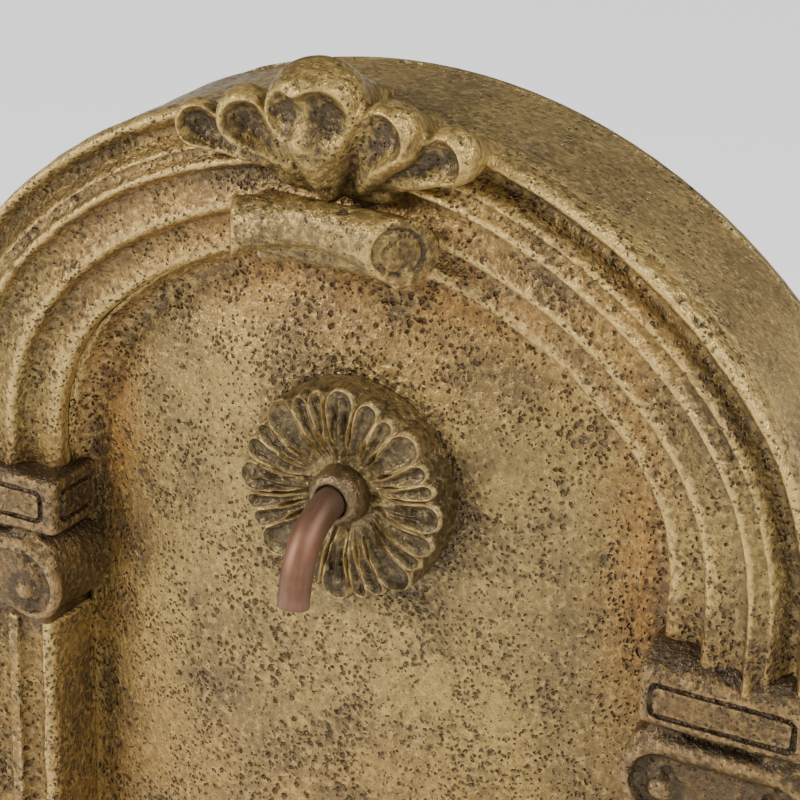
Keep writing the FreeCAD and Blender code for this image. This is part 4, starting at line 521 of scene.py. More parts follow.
def point_outwards(mesh):
    """Turn a closed mesh's faces so that they all point out of it."""
    points = np.empty(len(mesh.vertices) * 3)
    mesh.vertices.foreach_get("co", points)
    points = points.reshape(-1, 3)
    mesh.calc_loop_triangles()
    corners = np.empty(len(mesh.loop_triangles) * 3, np.int32)
    mesh.loop_triangles.foreach_get("vertices", corners)
    a, b, c = (points[corners.reshape(-1, 3)[:, index]] for index in range(3))
    if (a * np.cross(b, c)).sum() < 0:
        mesh.flip_normals()
    return mesh


def ring_mesh(name, points):
    """A closed skin over a grid of points that meets itself both ways."""
    rows, columns = points.shape[:2]
    faces = grid_faces(rows, columns, close_rows=True, close_columns=True)
    return point_outwards(make_mesh(name, points.reshape(-1, 3), faces))


def bar_mesh(name, points):
    """A closed skin over rows of points, each row a closed outline, with an end at each side."""
    rows, columns = points.shape[:2]
    ends = [range(columns - 1, -1, -1), range((rows - 1) * columns, rows * columns)]
    faces = grid_faces(rows, columns, close_columns=True)
    return point_outwards(make_mesh(name, points.reshape(-1, 3), faces, ends))


def smooth_curve(corners, count):
    """A soft line through given corners, evenly spaced along its length."""
    knots = np.array(corners, float)
    padded = np.vstack([2 * knots[0] - knots[1], knots, 2 * knots[-1] - knots[-2]])
    line = []
    for index in range(1, len(padded) - 2):
        p0, p1, p2, p3 = padded[index - 1:index + 3]
        for t in np.linspace(0, 1, 16, endpoint=False):
            line.append(
                0.5 * (2 * p1 + (p2 - p0) * t + (2 * p0 - 5 * p1 + 4 * p2 - p3) * t**2
                       + (3 * p1 - p0 - 3 * p2 + p3) * t**3)
            )
    line = np.array(line + [knots[-1]])
    length = np.concatenate([[0], np.cumsum(np.linalg.norm(np.diff(line, axis=0), axis=1))])
    even = np.linspace(0, length[-1], count)
    return np.stack([np.interp(even, length, line[:, axis]) for axis in range(line.shape[1])], axis=1)


def swept(name, line, outward, profile):
    """A closed profile of (outward, back) distances carried along the niche's edge, with closed ends."""
    across = line[:, None, 0] + outward[:, None, 0] * profile[None, :, 0]
    up = line[:, None, 1] + outward[:, None, 1] * profile[None, :, 0]
    back = np.broadcast_to(FACE + profile[None, :, 1], across.shape)
    return bar_mesh(name, np.stack([across, back, up], axis=-1))


def bell(value, middle, width):
    """1 at the middle, falling away smoothly on both sides."""
    return np.exp(-(((value - middle) / width) ** 2))


def crown_wash(points):
    """Orange wash round the crown under the scroll, down the jambs, low on the panel and by the capitals."""
    x, z = points[:, 0], points[:, 2]
    crown = bell(x, 0, 0.13) * bell(z, 1.015, 0.045)
    side = bell(np.abs(x), 0.150, 0.018) * bell(z, 0.90, 0.10)
    low = 1 / (1 + np.exp((z - 0.76) / 0.03))
    block = bell(np.abs(x), 0.20, 0.06) * bell(z, 0.85, 0.035)
    return np.clip(1.1 * crown + 0.75 * side + 0.45 * low + 0.6 * block, 0, 1)


def boss_grime_and_shade(points):
    """Dark wash round the foot of the rosette and beside the capitals: part grime, part painted
    contact shadow where they meet the panel.
    """
    across, up = np.abs(points[:, 0]), points[:, 2]
    ring = bell(np.hypot(across, up - ROSETTE_UP), 0.054, 0.008)
    corner = bell(across, 0.164, 0.009) * np.exp(-((up - 0.835) / 0.055) ** 4)
    return 0.95 * ring + 1.1 * corner


def foot_grime_and_shade(points):
    """Dark wash and painted shade where the moulding stands on the capitals."""
    return bell(points[:, 2], CAPITAL_TOP - 0.002, 0.022)


line, outward = arch_line(DECK, 250, 38, 72)
spine = np.stack([np.zeros(len(line)), np.minimum(line[:, 1], SPRING)], axis=1)
panel_lap = 0.0015
panel_back = 0.042
pillow_front = 0.0085
pillow_fall = 0.0195
cove_width = 0.0055
edge = line + outward * panel_lap
share = 1 - np.linspace(0, 1, 84) ** 0.92
flat = spine[:, None, :] + (edge - spine)[:, None, :] * share[None, :, None]
inside = np.linalg.norm(edge - spine, axis=1)[:, None] * (1 - share)[None, :]
cove = np.clip((line[:, 1] - 0.82) / 0.06, 0, 1)[:, None]
pillow = pillow_front + pillow_fall * share[None, :] ** 2.4
depth = pillow - (0.001 + 0.017 * cove) * np.exp(-inside / cove_width)
front = np.stack([flat[..., 0], FACE + depth, flat[..., 1]], axis=-1)
rows, columns = front.shape[:2]
border = front[:, 0].copy()
border[:, 1] = FACE + panel_back
panel_points = np.vstack([front.reshape(-1, 3), border])
count = rows * columns
seam = np.arange(rows - 1)
walls = np.stack([seam * columns, (seam + 1) * columns, count + seam + 1, count + seam], axis=1)
panel_faces = np.vstack([grid_faces(rows, columns), walls])
last_row = (rows - 1) * columns
foot = [count, *range(columns), *range(last_row + columns - 2, last_row - 1, -1), count + rows - 1]
closing = [range(count, count + rows), foot[::-1]]
holder = in_scene("panel_holder", make_mesh("niche_panel_mesh", panel_points, panel_faces, closing))
holder.modifiers.new("weld", "WELD").merge_threshold = 0.00003
panel_mesh = weather(
    point_outwards(baked(holder)), reach=0.006, holes=0.12, stain=crown_wash, grime_and_shade=boss_grime_and_shade, seed=11
)
panel_stone = patina("patina_panel", crust=0.45, grime=0.8)
settle("niche_panel", panel_mesh, panel_stone, "fountain", "patina_casting", "tower_casting")

shell_front = [(0.066, 0.012), (0.0735, 0.0005), (0.0768, 0.003), (0.0776, 0.010)]
shell_side = smooth_curve(
    [*shell_front, (0.0778, 0.030), (0.0778, 0.055), (0.0775, 0.068), (0.0770, 0.0755), (0.0764, 0.0782)], 46
)
shell_back = [
    (0.0761, 0.0788), (0.0761, 0.0738), (0.060, 0.0738), (0.060, 0.044), (0.004, 0.044), (0.004, 0.020)
]
shell_profile = np.vstack([shell_side, shell_back])
line, outward = arch_line(DECK, 190, 46, 96)
shell_mesh = weather(
    swept("tower_shell_mesh", line, outward, shell_profile), reach=0.006, holes=0.03, lump=0.0007, seed=12
)
flank_gold, flank_shade = (0.36, 0.250, 0.092), (0.21, 0.145, 0.060)
flank_stone = patina("patina_flank", flank_gold, flank_shade, pits=0.65, crust=0.6, grime=0.5)
settle("tower_shell", shell_mesh, flank_stone, "fountain", "patina_casting", "tower_casting")

# Rear cover
# A thin fibre sheet, cut to the tower's outline, that closes the tower's back. Countersunk
# cross-slot screws hold it, so that the hose and elbow can be reached.

sheet_finish = plain_finish("rear_sheet", (0.150, 0.112, 0.072), (0.098, 0.072, 0.046), 0.55, size=45.0)
coat(sheet_finish, "rear_cover")


def screw_head(tree, entry):
    """Nodes of a countersunk head with a cross slot cut into it."""
    head = turned_disc(tree, entry, "Head", "Depth", 28, 0.5)
    slots = tree.nodes.new("GeometryNodeMeshBoolean")
    slots.operation = "DIFFERENCE"
    tree.links.new(head, slots.inputs["Mesh 1"])
    length, width, depth = 0.0052, 0.0011, 0.0024
    for size in ((length, width, depth), (width, length, depth)):
        bar = tree.nodes.new("GeometryNodeMeshCube")
        bar.inputs["Size"].default_value = size
        tree.links.new(bar.outputs["Mesh"], slots.inputs["Mesh 2"])
    return slots.outputs["Mesh"]


screw_line = 0.240
screw_plane = 0.2079
shoulder_middle = JAMB - SHOULDER
shoulder_ray = 0.170 * math.cos(math.pi / 4)
screw_spots = [(0.0, 1.090)] + [
    (side * across, up)
    for side in (1, -1)
    for across, up in ((screw_line, 0.390), (screw_line, 0.560), (screw_line, 0.730),
                       (shoulder_middle + shoulder_ray, SPRING + shoulder_ray))
]
screws = set_out(
    "cover_screws_set",
    [(x, screw_plane, z) for x, z in screw_spots],
    (math.pi / 2, 0.0, 0.0),
    screw_head,
    {"Head": 0.004, "Depth": 0.002},
    steel,
)
settle("cover_screws", screws, steel, "fountain", "steel", "rear_cover_screws")

# Arch surround
# The stepped moulding round the arch: a flat band, two raised fillets, a thin bead in a hollow
# and a rounded outer roll. It is cast with the tower and rubbed with pale gold on its ridges.

# In millimetres: outward from the niche's edge, and back from the face plane.
arch_corners = (
    (1.8, 17), (0.4, 9), (0.0, 5), (1.0, 1.8), (3.5, 0), (8, -0.4), (14, 0.8), (18.6, 0.4), (20.6, -2.6),
    (21.8, -6.4), (24.0, -8.9), (27, -9.3), (32, -7.8), (38, -6.6), (42, -7.0), (44.0, -10), (45.2, -13.6),
    (47.2, -15.6), (49.6, -14.9), (51.8, -12.2), (53.6, -10.8), (55.2, -11.7), (56.6, -11.8), (58.2, -10.2),
    (60.6, -6.4), (63.6, -3.0), (66.0, -2.2), (68.0, -4.2), (69.8, -8.0), (72.2, -10.6), (74.8, -9.9),
    (76.6, -6.6), (77.4, -2.5), (77.5, 2), (76.8, 8), (75, 14),
)
arch_profile = smooth_curve([(out / 1000, back / 1000) for out, back in arch_corners], 118)
line, outward = arch_line(CAPITAL_TOP - 0.016, 12, 70, 130)
arch_mesh = weather(
    swept("arch_surround_mesh", line, outward, arch_profile), reach=0.005, holes=0.12, lump=0.0006,
    stain=crown_wash, grime_and_shade=foot_grime_and_shade, seed=13,
)
arch_stone = patina("patina_arch", pits=0.9, crust=0.8, grime=0.4, rub=1.6)
settle("arch_surround", arch_mesh, arch_stone, "fountain", "patina_casting", "arch_moulding")

# Pilasters and their bases
# A flat shaft with three shallow flutes on each side of the niche, standing on a square block
# and two rolls. The left one is the right one mirrored.


def two_sides(name, mesh, material, nodes):
    """Settle a right-hand casting and its mirrored left-hand copy."""
    other = mesh.copy()
    other.transform(Matrix.Scale(-1, 4, (1, 0, 0)))
    other.flip_normals()
    settle(f"right_{name}", mesh, material, "fountain", "patina_casting", f"right_{nodes}")
    settle(f"left_{name}", other, material, "fountain", "patina_casting", f"left_{nodes}")


shaft_low, shaft_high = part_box("right_pilaster")
heights = np.linspace(shaft_low.z - 0.002, shaft_high.z + 0.004, 150)
plan = smooth_curve(
    [(0.0004, 0.034), (0.0, 0.020), (0.0002, 0.004), (0.001, -0.006), (0.004, -0.0095), (0.008, -0.010)], 26
)
shaft_width = 0.076
shaft_front = -0.010
across = np.linspace(0.008, 0.068, 78)[1:-1]
face_line = np.stack([across, np.full_like(across, shaft_front)], axis=1)
mirrored = plan[::-1] * (-1, 1) + (shaft_width, 0)
section = np.vstack([plan, face_line, mirrored])
flute_middles = (0.016, 0.038, 0.060)
flute_half = 0.0075
flute_share = 0.8
flute_from = shaft_low.z + 0.024
flute_to = shaft_high.z + 0.02
column = np.empty((len(heights), len(section), 3))
for row, height in enumerate(heights):
    outside = max(flute_from - height, height - flute_to, 0)
    half = math.sqrt(max(flute_half**2 - outside**2, 0))
    cut = np.zeros(len(section))
    for middle in flute_middles:
        near = np.clip(half**2 - (section[:, 0] - middle) ** 2, 0, None)
        cut = np.maximum(cut, np.sqrt(near) * flute_share * (section[:, 1] < 0))
    column[row, :, 0] = JAMB + section[:, 0]
    column[row, :, 1] = FACE + section[:, 1] + cut
    column[row, :, 2] = height
shaft_mesh = bar_mesh("pilaster_mesh", column)
shaft_mesh = weather(shaft_mesh, reach=0.005, holes=0.12, lump=0.0007, stain=crown_wash, seed=14)
two_sides("fluted_shaft", shaft_mesh, arch_stone, "pilaster")
base_mesh = weather(softened("right_pilaster_base", 0.0018, 4), reach=0.005, stain=crown_wash, seed=15)
two_sides("shaft_base", base_mesh, arch_stone, "pilaster_base")

# Capitals
# A block with a tablet incised in its front and inner side, over a pair of small scroll volutes
# whose rolls run back to the panel. Each is cast with its pilaster.


def sculpt(name, low, high, step, field, melt=2):
    """A closed mesh where a distance field, negative inside, crosses zero. Each melt softens its edges."""
    axes = [np.arange(a, b + step, step) for a, b in zip(low, high)]
    shape = [len(axis) for axis in axes]
    x, y, z = np.meshgrid(*axes, indexing="ij")
    value = field(x, y, z)
    for _ in range(melt):
        for axis in range(3):
            layers = np.moveaxis(value, axis, 0)
            layers[1:-1] = (layers[:-2] + 2 * layers[1:-1] + layers[2:]) / 4
    for axis in range(3):
        for end in (0, -1):
            value[(slice(None),) * axis + (end,)] = step
    solid = value < 0
    # One point in each cell that the surface crosses, at the mean of its edges' crossings.
    cells = [size - 1 for size in shape]
    total = np.zeros((*cells, 3))
    hits = np.zeros(cells)

    def block(data, offset):
        return data[tuple(slice(o, o + size) for o, size in zip(offset, cells))]

    for start in itertools.product((0, 1), repeat=3):
        for axis in range(3):
            if start[axis]:
                continue
            stop = tuple(o + (index == axis) for index, o in enumerate(start))
            first, last = block(value, start), block(value, stop)
            crossing = block(solid, start) != block(solid, stop)
            part = np.where(crossing, first / np.where(crossing, first - last, 1), 0)
            for index in range(3):
                total[..., index] += crossing * (start[index] + part * (index == axis))
            hits += crossing
    active = hits > 0
    number = np.full(cells, -1)
    number[active] = np.arange(active.sum())
    spot = np.argwhere(active) + total[active] / hits[active][:, None]
    points = np.array(low) + spot * step
    # One quad for each grid line's step that the surface crosses, between the four cells round it.
    faces = []
    for axis in range(3):
        u, v = (axis + 1) % 3, (axis + 2) % 3
        near = [slice(1, -1)] * 3
        near[axis] = slice(0, -1)
        far = list(near)
        far[axis] = slice(1, None)
        change = solid[tuple(near)] != solid[tuple(far)]
        rising = solid[tuple(near)]
        place = np.argwhere(change)
        place = place + np.array([0 if index == axis else 1 for index in range(3)])
        quad = []
        for du, dv in ((1, 1), (0, 1), (0, 0), (1, 0)):
            shift = np.zeros(3, int)
            shift[u], shift[v] = -du, -dv
            cell = place + shift
            quad.append(number[cell[:, 0], cell[:, 1], cell[:, 2]])
        quad = np.stack(quad, axis=1)
        turned = rising[change]
        quad[~turned] = quad[~turned][:, ::-1]
        faces.append(quad)
    return point_outwards(make_mesh(name, points, np.vstack(faces)))


def blend_in(first, second, soft):
    """Join two distance fields with a soft fillet."""
    share = np.clip(0.5 + 0.5 * (second - first) / soft, 0, 1)
    return second + (first - second) * share - soft * share * (1 - share)


def carve(solid, tool, soft):
    """Cut one distance field out of another with a soft edge."""
    return -blend_in(-solid, tool, soft)


def soft_box(x, y, z, low, high, radius):
    """Distance to a box with rounded edges."""
    away = [np.abs(value - (a + b) / 2) - (b - a) / 2 + radius for value, a, b in zip((x, y, z), low, high)]
    outer = np.sqrt(sum(np.maximum(value, 0) ** 2 for value in away))
    return outer + np.minimum(np.maximum(np.maximum(away[0], away[1]), away[2]), 0) - radius


def rod(x, y, z, start, stop, radius_start, radius_stop):
    """Distance to a round bar that swells evenly from one end to the other."""
    start, stop = np.array(start, float), np.array(stop, float)
    run = stop - start
    share = ((x - start[0]) * run[0] + (y - start[1]) * run[1] + (z - start[2]) * run[2]) / (run @ run)
    share = np.clip(share, 0, 1)
    gap = np.sqrt((x - start[0] - share * run[0]) ** 2 + (y - start[1] - share * run[1]) ** 2
                  + (z - start[2] - share * run[2]) ** 2)
    return gap - (radius_start + (radius_stop - radius_start) * share)


def groove_line(across, up, half_across, half_up, radius):
    """Distance to the outline of a rounded rectangle."""
    a = np.abs(across) - half_across + radius
    b = np.abs(up) - half_up + radius
    outer = np.sqrt(np.maximum(a, 0) ** 2 + np.maximum(b, 0) ** 2)
    return np.abs(outer + np.minimum(np.maximum(a, b), 0) - radius)


# In millimetres. A tablet is half its width, half its height and the radius of its corners.
SHAFT_MIDDLE = 38
TABLET_FRONT = (35.5, 8, 4)
TABLET_SIDE = (13.5, 8, 4)
SIDE_MIDDLE = 6
GROOVE_HALF = 0.62


def tablet_up(foot, top, worn):
    """Height of the middle of a capital's tablets over the floor, in millimetres."""
    return (foot + top - worn) / 2 + 0.5


def capital_form(foot, top, worn, overhang, eye_out, eye_up, swirl):
    """The field of one capital, in millimetres from the jamb, from the face plane and up from the floor.
    The block runs from foot to top, less what is worn off its front; the eyes of the volutes lie at
    eye_out and eye_up, and swirl is how far they are rolled up."""

    def field(x, y, z):
        o, back, up = (np.abs(x) - JAMB) * 1000, (y - FACE) * 1000, z * 1000
        block = soft_box(o, back, up, (-overhang, -16, foot), (80, 34, top), 5)
        slope = (up - top - 1 + worn) * 0.77 - (back + 16) * 0.64
        block = -blend_in(-block, -slope, 5)
        over_tablet = up - tablet_up(foot, top, worn)
        line_front = groove_line(o - SHAFT_MIDDLE, over_tablet, *TABLET_FRONT)
        line_side = groove_line(back - SIDE_MIDDLE, over_tablet, *TABLET_SIDE)
        block = carve(block, np.maximum(line_front - GROOVE_HALF, back + 12.8), 0.3)
        block = carve(block, np.maximum(line_side - GROOVE_HALF, o + overhang - 3.2), 0.3)
        form = blend_in(block, soft_box(o, back, up, (3, -8, 772), (73, 34, foot + 2), 3), 1.0)
        form = blend_in(form, soft_box(o, back, up, (14, -12.5, 786), (62, 0, foot - 4), 3), 1.0)
        far_eye = 2 * SHAFT_MIDDLE - eye_out
        for middle, hand in ((eye_out, -1), (far_eye, 1)):
            a, b = (o - middle) * hand, up - eye_up
            radius = np.hypot(a, b)
            turned = np.mod(np.arctan2(a, b), 2 * np.pi) / (2 * np.pi)
            course = (foot - 9 - eye_up - 12 * swirl) * (1 - turned) ** 2.2 + 12 * swirl
            thick = (1.6 + 5.2 * (1 - turned) ** 1.4) * (0.3 + 0.7 * swirl)
            plump = 21 + 7 * np.clip((back + 10) / 40, 0, 1)
            tall = (foot - eye_up + 16) / 2
            cushion = ((np.abs(a / plump) ** 2.5 + np.abs((b + 16 - tall) / tall) ** 2.5) ** 0.4 - 1) * 20
            cushion = -blend_in(-cushion, back + 12.5, 4)
            border = np.hypot(radius - course, (back + 10.5) * 1.1) - thick
            channel = np.hypot(radius - np.maximum(course - thick - 1.2, 9.6 * swirl), back + 14) - 3.4
            ball = np.sqrt(a**2 + b**2 + (back + 9) ** 2) - 8.4 * swirl
            roll = carve(blend_in(cushion, border, 2.5), channel, 1.6)
            form = blend_in(form, blend_in(roll, ball, 0.8), 1.2)
        level = foot - 9
        band = rod(o, back, up, (eye_out, -10.5, level), (far_eye, -10.5, level), 6.2, 6.2)
        return blend_in(form, band, 1.0) / 1000

    return field


def capital_wash_and_shade(foot, top, worn, overhang, eye_out, eye_up, swirl):
    """Dark wash and painted shade along the lines cut into a capital's tablets and in the channel
    round its eyes.
    """

    def grime_and_shade(points):
        o = (np.abs(points[:, 0]) - JAMB) * 1000
        back, up = (points[:, 1] - FACE) * 1000, points[:, 2] * 1000
        over_tablet = up - tablet_up(foot, top, worn)
        eye = np.hypot(SHAFT_MIDDLE - eye_out - np.abs(o - SHAFT_MIDDLE), up - eye_up)
        channel = bell(eye, 9.6 * swirl, 2.4) * (back < -6)
        front = np.where(back < -10, groove_line(o - SHAFT_MIDDLE, over_tablet, *TABLET_FRONT), 9)
        side = np.where(o < 5 - overhang, groove_line(back - SIDE_MIDDLE, over_tablet, *TABLET_SIDE), 9)
        return 1.7 * bell(np.minimum(front, side), 0, 0.6) + 0.9 * channel

    return grime_and_shade


capital_stone = patina(
    "patina_capital", (0.140, 0.083, 0.027), (0.036, 0.022, 0.008), pits=0.8, crust=0.9, grime=1.1, rub=2.1
)
capitals = {
    "right": dict(foot=826, top=868, worn=13, overhang=5, eye_out=10, eye_up=794, swirl=1.0),
    "left": dict(foot=836, top=870.5, worn=2, overhang=7, eye_out=16, eye_up=801, swirl=0.85),
}
for side, sizes in capitals.items():
    hand = 1 if side == "right" else -1
    ends = sorted((hand * 0.144, hand * 0.262))
    low, high = (ends[0], 0.106, 0.770), (ends[1], 0.165, 0.876)
    mesh = sculpt(f"{side}_capital_mesh", low, high, 0.00085, capital_form(**sizes), 1)
    mesh = weather(mesh, reach=0.0045, holes=0.03, grime_and_shade=capital_wash_and_shade(**sizes), top_grime_and_shade=1.35, seed=16)
    settle(f"{side}_scroll_capital", mesh, capital_stone, "fountain", "patina_casting", f"{side}_capital")

# Scroll keystone
# A waisted roll across the crown of the arch, like a rolled sheet. Its ends turn towards the
# front and show the rolled layers; the sheet's tail folds back under it along the niche's edge.


def scroll_form(x, y, z):
    """The field of the scroll: the waisted roll, the layers cut into its ends, its tail and its root."""
    x, back, up = x * 1000, (y - FACE) * 1000, z * 1000
    thick = 12.4 + 4.4 * np.clip(np.abs(x + 4) / 46, 0, 1.2) ** 2
    ridge = 1056.5 - np.where(x < 0, 0.0024, 0.0006) * x**2
    a, b = back + 27, up - ridge + thick
    radius = np.hypot(a, b)
    lean = math.radians(33)
    face = (np.abs(x + 4) - 46) * math.cos(lean) - a * math.sin(lean)
    form = -blend_in(thick - radius, -face, 2.6)
    angle = np.mod(np.arctan2(b, a), 2 * np.pi)
    turns = (radius - 4.0 * angle / (2 * np.pi)) / 4.0
    coil = np.maximum(np.abs(turns - np.round(turns)) * 4.0, 3.5 - radius)
    form = carve(form, np.maximum(np.maximum(coil - 0.5, radius - 9), -face - 0.9), 1.2)
    form = carve(form, np.maximum(np.abs(radius - 10.8) - 0.7, -face - 2.0), 0.6)
    lip = None
    for start, stop in (((-50, 6, 1012), (-8, -8, 1021)), ((-8, -8, 1021), (12, -11, 1022.5)),
                        ((12, -11, 1022.5), (36, -17, 1021.5)), ((36, -17, 1021.5), (42, -22, 1026))):
        part = rod(x, back, up, start, stop, 4.6, 4.6)
        lip = part if lip is None else blend_in(lip, part, 3)
    root = soft_box(x, back, up, (-46, -18, 1018), (36, 8, 1050), 6)
    return blend_in(blend_in(form, root, 2), lip, 1.6) / 1000


def scroll_shade(points):
    """Painted shade on the fold under the roll and on the rolled layers at its right end, the side
    away from the key lamp.
    """
    under = np.clip((1.0275 - points[:, 2]) / 0.004, 0, 1) * (points[:, 0] < 0.034)
    return 0.5 * under + 0.40 * np.clip((points[:, 0] - 0.036) / 0.006, 0, 1)


scroll_mesh = sculpt("scroll_mesh", (-0.072, 0.076, 0.998), (0.066, 0.142, 1.066), 0.0008, scroll_form, 1)
scroll_mesh = weather(scroll_mesh, reach=0.0045, holes=0.06, lump=0.0005, grime_and_shade=scroll_shade, seed=17)
crest_stone = patina(
    "patina_crest", (0.300, 0.200, 0.058), (0.115, 0.074, 0.028), pits=0.6, crust=0.55, grime=1.1, rub=1.8
)
settle("rolled_scroll", scroll_mesh, crest_stone, "fountain", "patina_casting", "scroll_keystone")

# Palmette crest
# Five scooped leaves that fan out over the scroll, with thick rolled rims. Their backs run down
# onto the top of the arch and blend into it.

# In millimetres: a leaf's foot, its tip and its radius there, then its scoop's foot, tip and radius.
side_leaves = (
    ((-27, -12, 1065), (-70, -20, 1080), 12.0, (-30, -24, 1068), (-67.5, -30, 1080), 8.8),
    ((27, -13, 1066), (64, -22, 1087), 13.4, (30, -25, 1069), (61.0, -34, 1086), 10.0),
    ((-17, -16, 1065), (-41, -24, 1089), 15.0, (-17, -29, 1069), (-37.5, -38, 1088.5), 10.8),
    ((17, -17, 1065), (36, -27, 1094), 15.5, (16, -31, 1070), (33.0, -41, 1093), 11.6),
)
middle_scoops = (
    ((-9, -53, 1086), (-10.5, -50, 1100), 4.0, 10.5),
    ((6, -55, 1078), (9.5, -51, 1099), 4.5, 14.5),
)
scoop_start = 3.6


def crest_form(x, y, z):
    """The field of the palmette: a foot, two leaves on each side and the broad middle leaf."""
    x, back, up = x * 1000, (y - FACE) * 1000, z * 1000
    form = soft_box(x, back, up, (-32, -18, 1054), (32, 12, 1066), 6)
    for foot, tip, tip_radius, scoop_foot, scoop_tip, scoop_radius in side_leaves:
        leaf = rod(x, back, up, foot, tip, 6, tip_radius)
        tail = rod(x, back, up, tip, (tip[0] * 1.1, 26, tip[2] - 8), tip_radius * 0.86, 5)
        scoop = rod(x, back, up, scoop_foot, scoop_tip, scoop_start, scoop_radius)
        leaf = carve(blend_in(leaf, tail, 8), scoop, 3.6)
        form = blend_in(form, leaf, 1.4)
    leaf = rod(x, back, up, (0, -19, 1060), (-1, -31, 1099.5), 8, 24.5)
    tail = rod(x, back, up, (-1, -26, 1102), (6, 32, 1092), 20, 5)
    left, right = (rod(x, back, up, *scoop) for scoop in middle_scoops)
    leaf = carve(blend_in(leaf, tail, 10), blend_in(left, right, 5), 4.5)
    return np.maximum(blend_in(form, leaf, 1.4), up - 1127.5) / 1000


def crest_wash_and_shade(points):
    """Dark wash that pooled in the leaves' scoops, and painted shade in them."""
    x, up = points[:, 0] * 1000, points[:, 2] * 1000
    scoops = [(foot, tip, scoop_start, radius) for _, _, _, foot, tip, radius in side_leaves]
    scoops += middle_scoops
    wash = np.zeros(len(points))
    for foot, tip, low_radius, radius in scoops:
        inside = -rod(x, 0, up, (foot[0], 0, foot[2]), (tip[0], 0, tip[2]), low_radius, radius)
        wash = np.maximum(wash, np.clip(inside / 9, 0, 1))
    return 0.60 * wash * (points[:, 1] < FACE - 0.012)


crest_mesh = sculpt("crest_mesh", (-0.090, 0.068, 1.046), (0.090, 0.172, 1.131), 0.00095, crest_form)
crest_mesh = weather(crest_mesh, reach=0.006, holes=0.08, lump=0.0006, grime_and_shade=crest_wash_and_shade, seed=18)
settle("leaf_crest", crest_mesh, crest_stone, "fountain", "patina_casting", "palmette_crest")

# Rosette
# A leaf boss round the spout, cast by itself and held to the panel by the spout's collar. Four
# ribs with curled tips part the lobes; each lobe is scooped, with drilled eyes between them.

# In millimetres. The seat is how far the rosette's back plane lies behind the face plane.
ROSETTE_RADIUS = 56.6
ROSETTE_BORE = 9.6
ROSETTE_SEAT = 10.5
lobes = []
for quarter in range(4):
    for angle, width, reach in (
        (0, 8.0, ROSETTE_RADIUS), (18, 6.3, 55), (31, 5.2, 53.5),
        (47, 8.5, ROSETTE_RADIUS), (63, 5.2, 54), (74, 4.5, 54.5),
    ):
        lobes.append((math.radians(90 * quarter + angle), width, reach))


def turn_from(angle, middle):
    """The turn from one direction to another, at most half a turn either way."""
    return np.mod(angle - middle + np.pi, 2 * np.pi) - np.pi


def rosette_height(ray, angle):
    """Front of the rosette in millimetres over its back plane, how far inside a lobe it is, and its tint of
    rubbed rims and dark floors.
    """
    best = np.full(ray.shape, -99.0)
    for middle, width, reach in lobes:
        turn = turn_from(angle, middle)
        side = (width / 45 - np.abs(turn)) * ray
        along, across = ray * np.cos(turn), ray * np.sin(turn)
        cap = width * 1.05 - np.hypot(along - (reach - width * 1.05), across)
        inside = np.where(along > reach - width * 1.05, np.minimum(cap, side), side)
        best = np.maximum(best, np.where(np.abs(turn) < 1.0, inside, -99))
    opened = np.clip((ray - 18) / 12, 0, 1)
    dish = np.clip((33 - ray) / 15, 0, 1)
    height = 18.6 - 2.2 * np.clip((ray - 40) / 14, 0, 1) ** 2 - 6.0 * dish * dish * (3 - 2 * dish)
    height += opened * 1.1 * bell(best, 1.15, 0.7)
    height -= opened * 2.4 * np.clip((best - 1.8) / 2.6, 0, 1)
    height -= opened * 3.0 * np.clip(1 - best / 0.8, 0, 1)
    for quarter in range(4):
        middle = math.radians(90 * quarter)
        turn = turn_from(angle, middle)
        across = ray * np.sin(turn)
        ahead = np.cos(turn) > 0
        rib = 3.0 * bell(across, 0, 1.5) - 1.6 * bell(np.abs(across), 3.1, 0.9)
        height += np.where(ahead, rib, 0) * np.clip((ray - 14) / 5, 0, 1) * np.clip((46 - ray) / 5, 0, 1)
        curl = 3.0 * bell(ray, 49, 3.2) * bell(across, 0, 3.4)
        height += np.where(ahead, curl, 0)
        for slot, spot in ((10.1, 33), (25.1, 30), (37.1, 29), (56.9, 29), (68.9, 30), (79.7, 33)):
            turn = turn_from(angle, middle + math.radians(slot))
            away = np.hypot(ray * np.sin(turn) / 1.15, (ray * np.cos(turn) - spot) / 4.6)
            height -= np.where(np.cos(turn) > 0, 5.5 * np.clip(1.35 - away, 0, 1), 0)
    tint = opened * (1.5 * bell(best, 1.0, 0.75) - 0.75 * np.clip((best - 1.8) / 1.6, 0, 1))
    tint -= np.clip((12.5 - height) / 3, 0, 1) * np.clip((ray - 21) / 3, 0, 1)
    return height, best, tint


angles = np.linspace(0, 2 * np.pi, 880, endpoint=False)
rays = np.concatenate([np.linspace(ROSETTE_BORE, 48, 72), np.linspace(48.5, ROSETTE_RADIUS, 18)])
ray, angle = np.meshgrid(rays, angles)
inside = rosette_height(ray, angle)[1]
outline = np.array([rays[np.nonzero(row > 0)[0].max()] if (row > 0).any() else 48 for row in inside])
outline = np.maximum(outline, 52)[:, None]
ring = np.minimum(ray, outline)
height, _, tint = rosette_height(ring, angle)
fall = np.array([0.02, 0.1, 0.3, 0.6, 0.9, 1.0])
wall_ring = (outline + 0.3) * (1 - fall) + ROSETTE_RADIUS * fall
wall_height = np.minimum(height[:, -1:], 15.0) * (1 - fall) - 2.5 * fall
back_ring = np.broadcast_to(np.array([40.0, ROSETTE_BORE]), (len(angles), 2))
all_ring = np.hstack([ring, wall_ring, back_ring]) / 1000
all_height = np.hstack([height, wall_height, np.full((len(angles), 2), -3.0)]) / 1000
all_angle = np.broadcast_to(angles[:, None], all_ring.shape)
points = np.stack([all_ring * np.sin(all_angle), FACE + ROSETTE_SEAT / 1000 - all_height,
                   ROSETTE_UP + all_ring * np.cos(all_angle)], axis=-1)
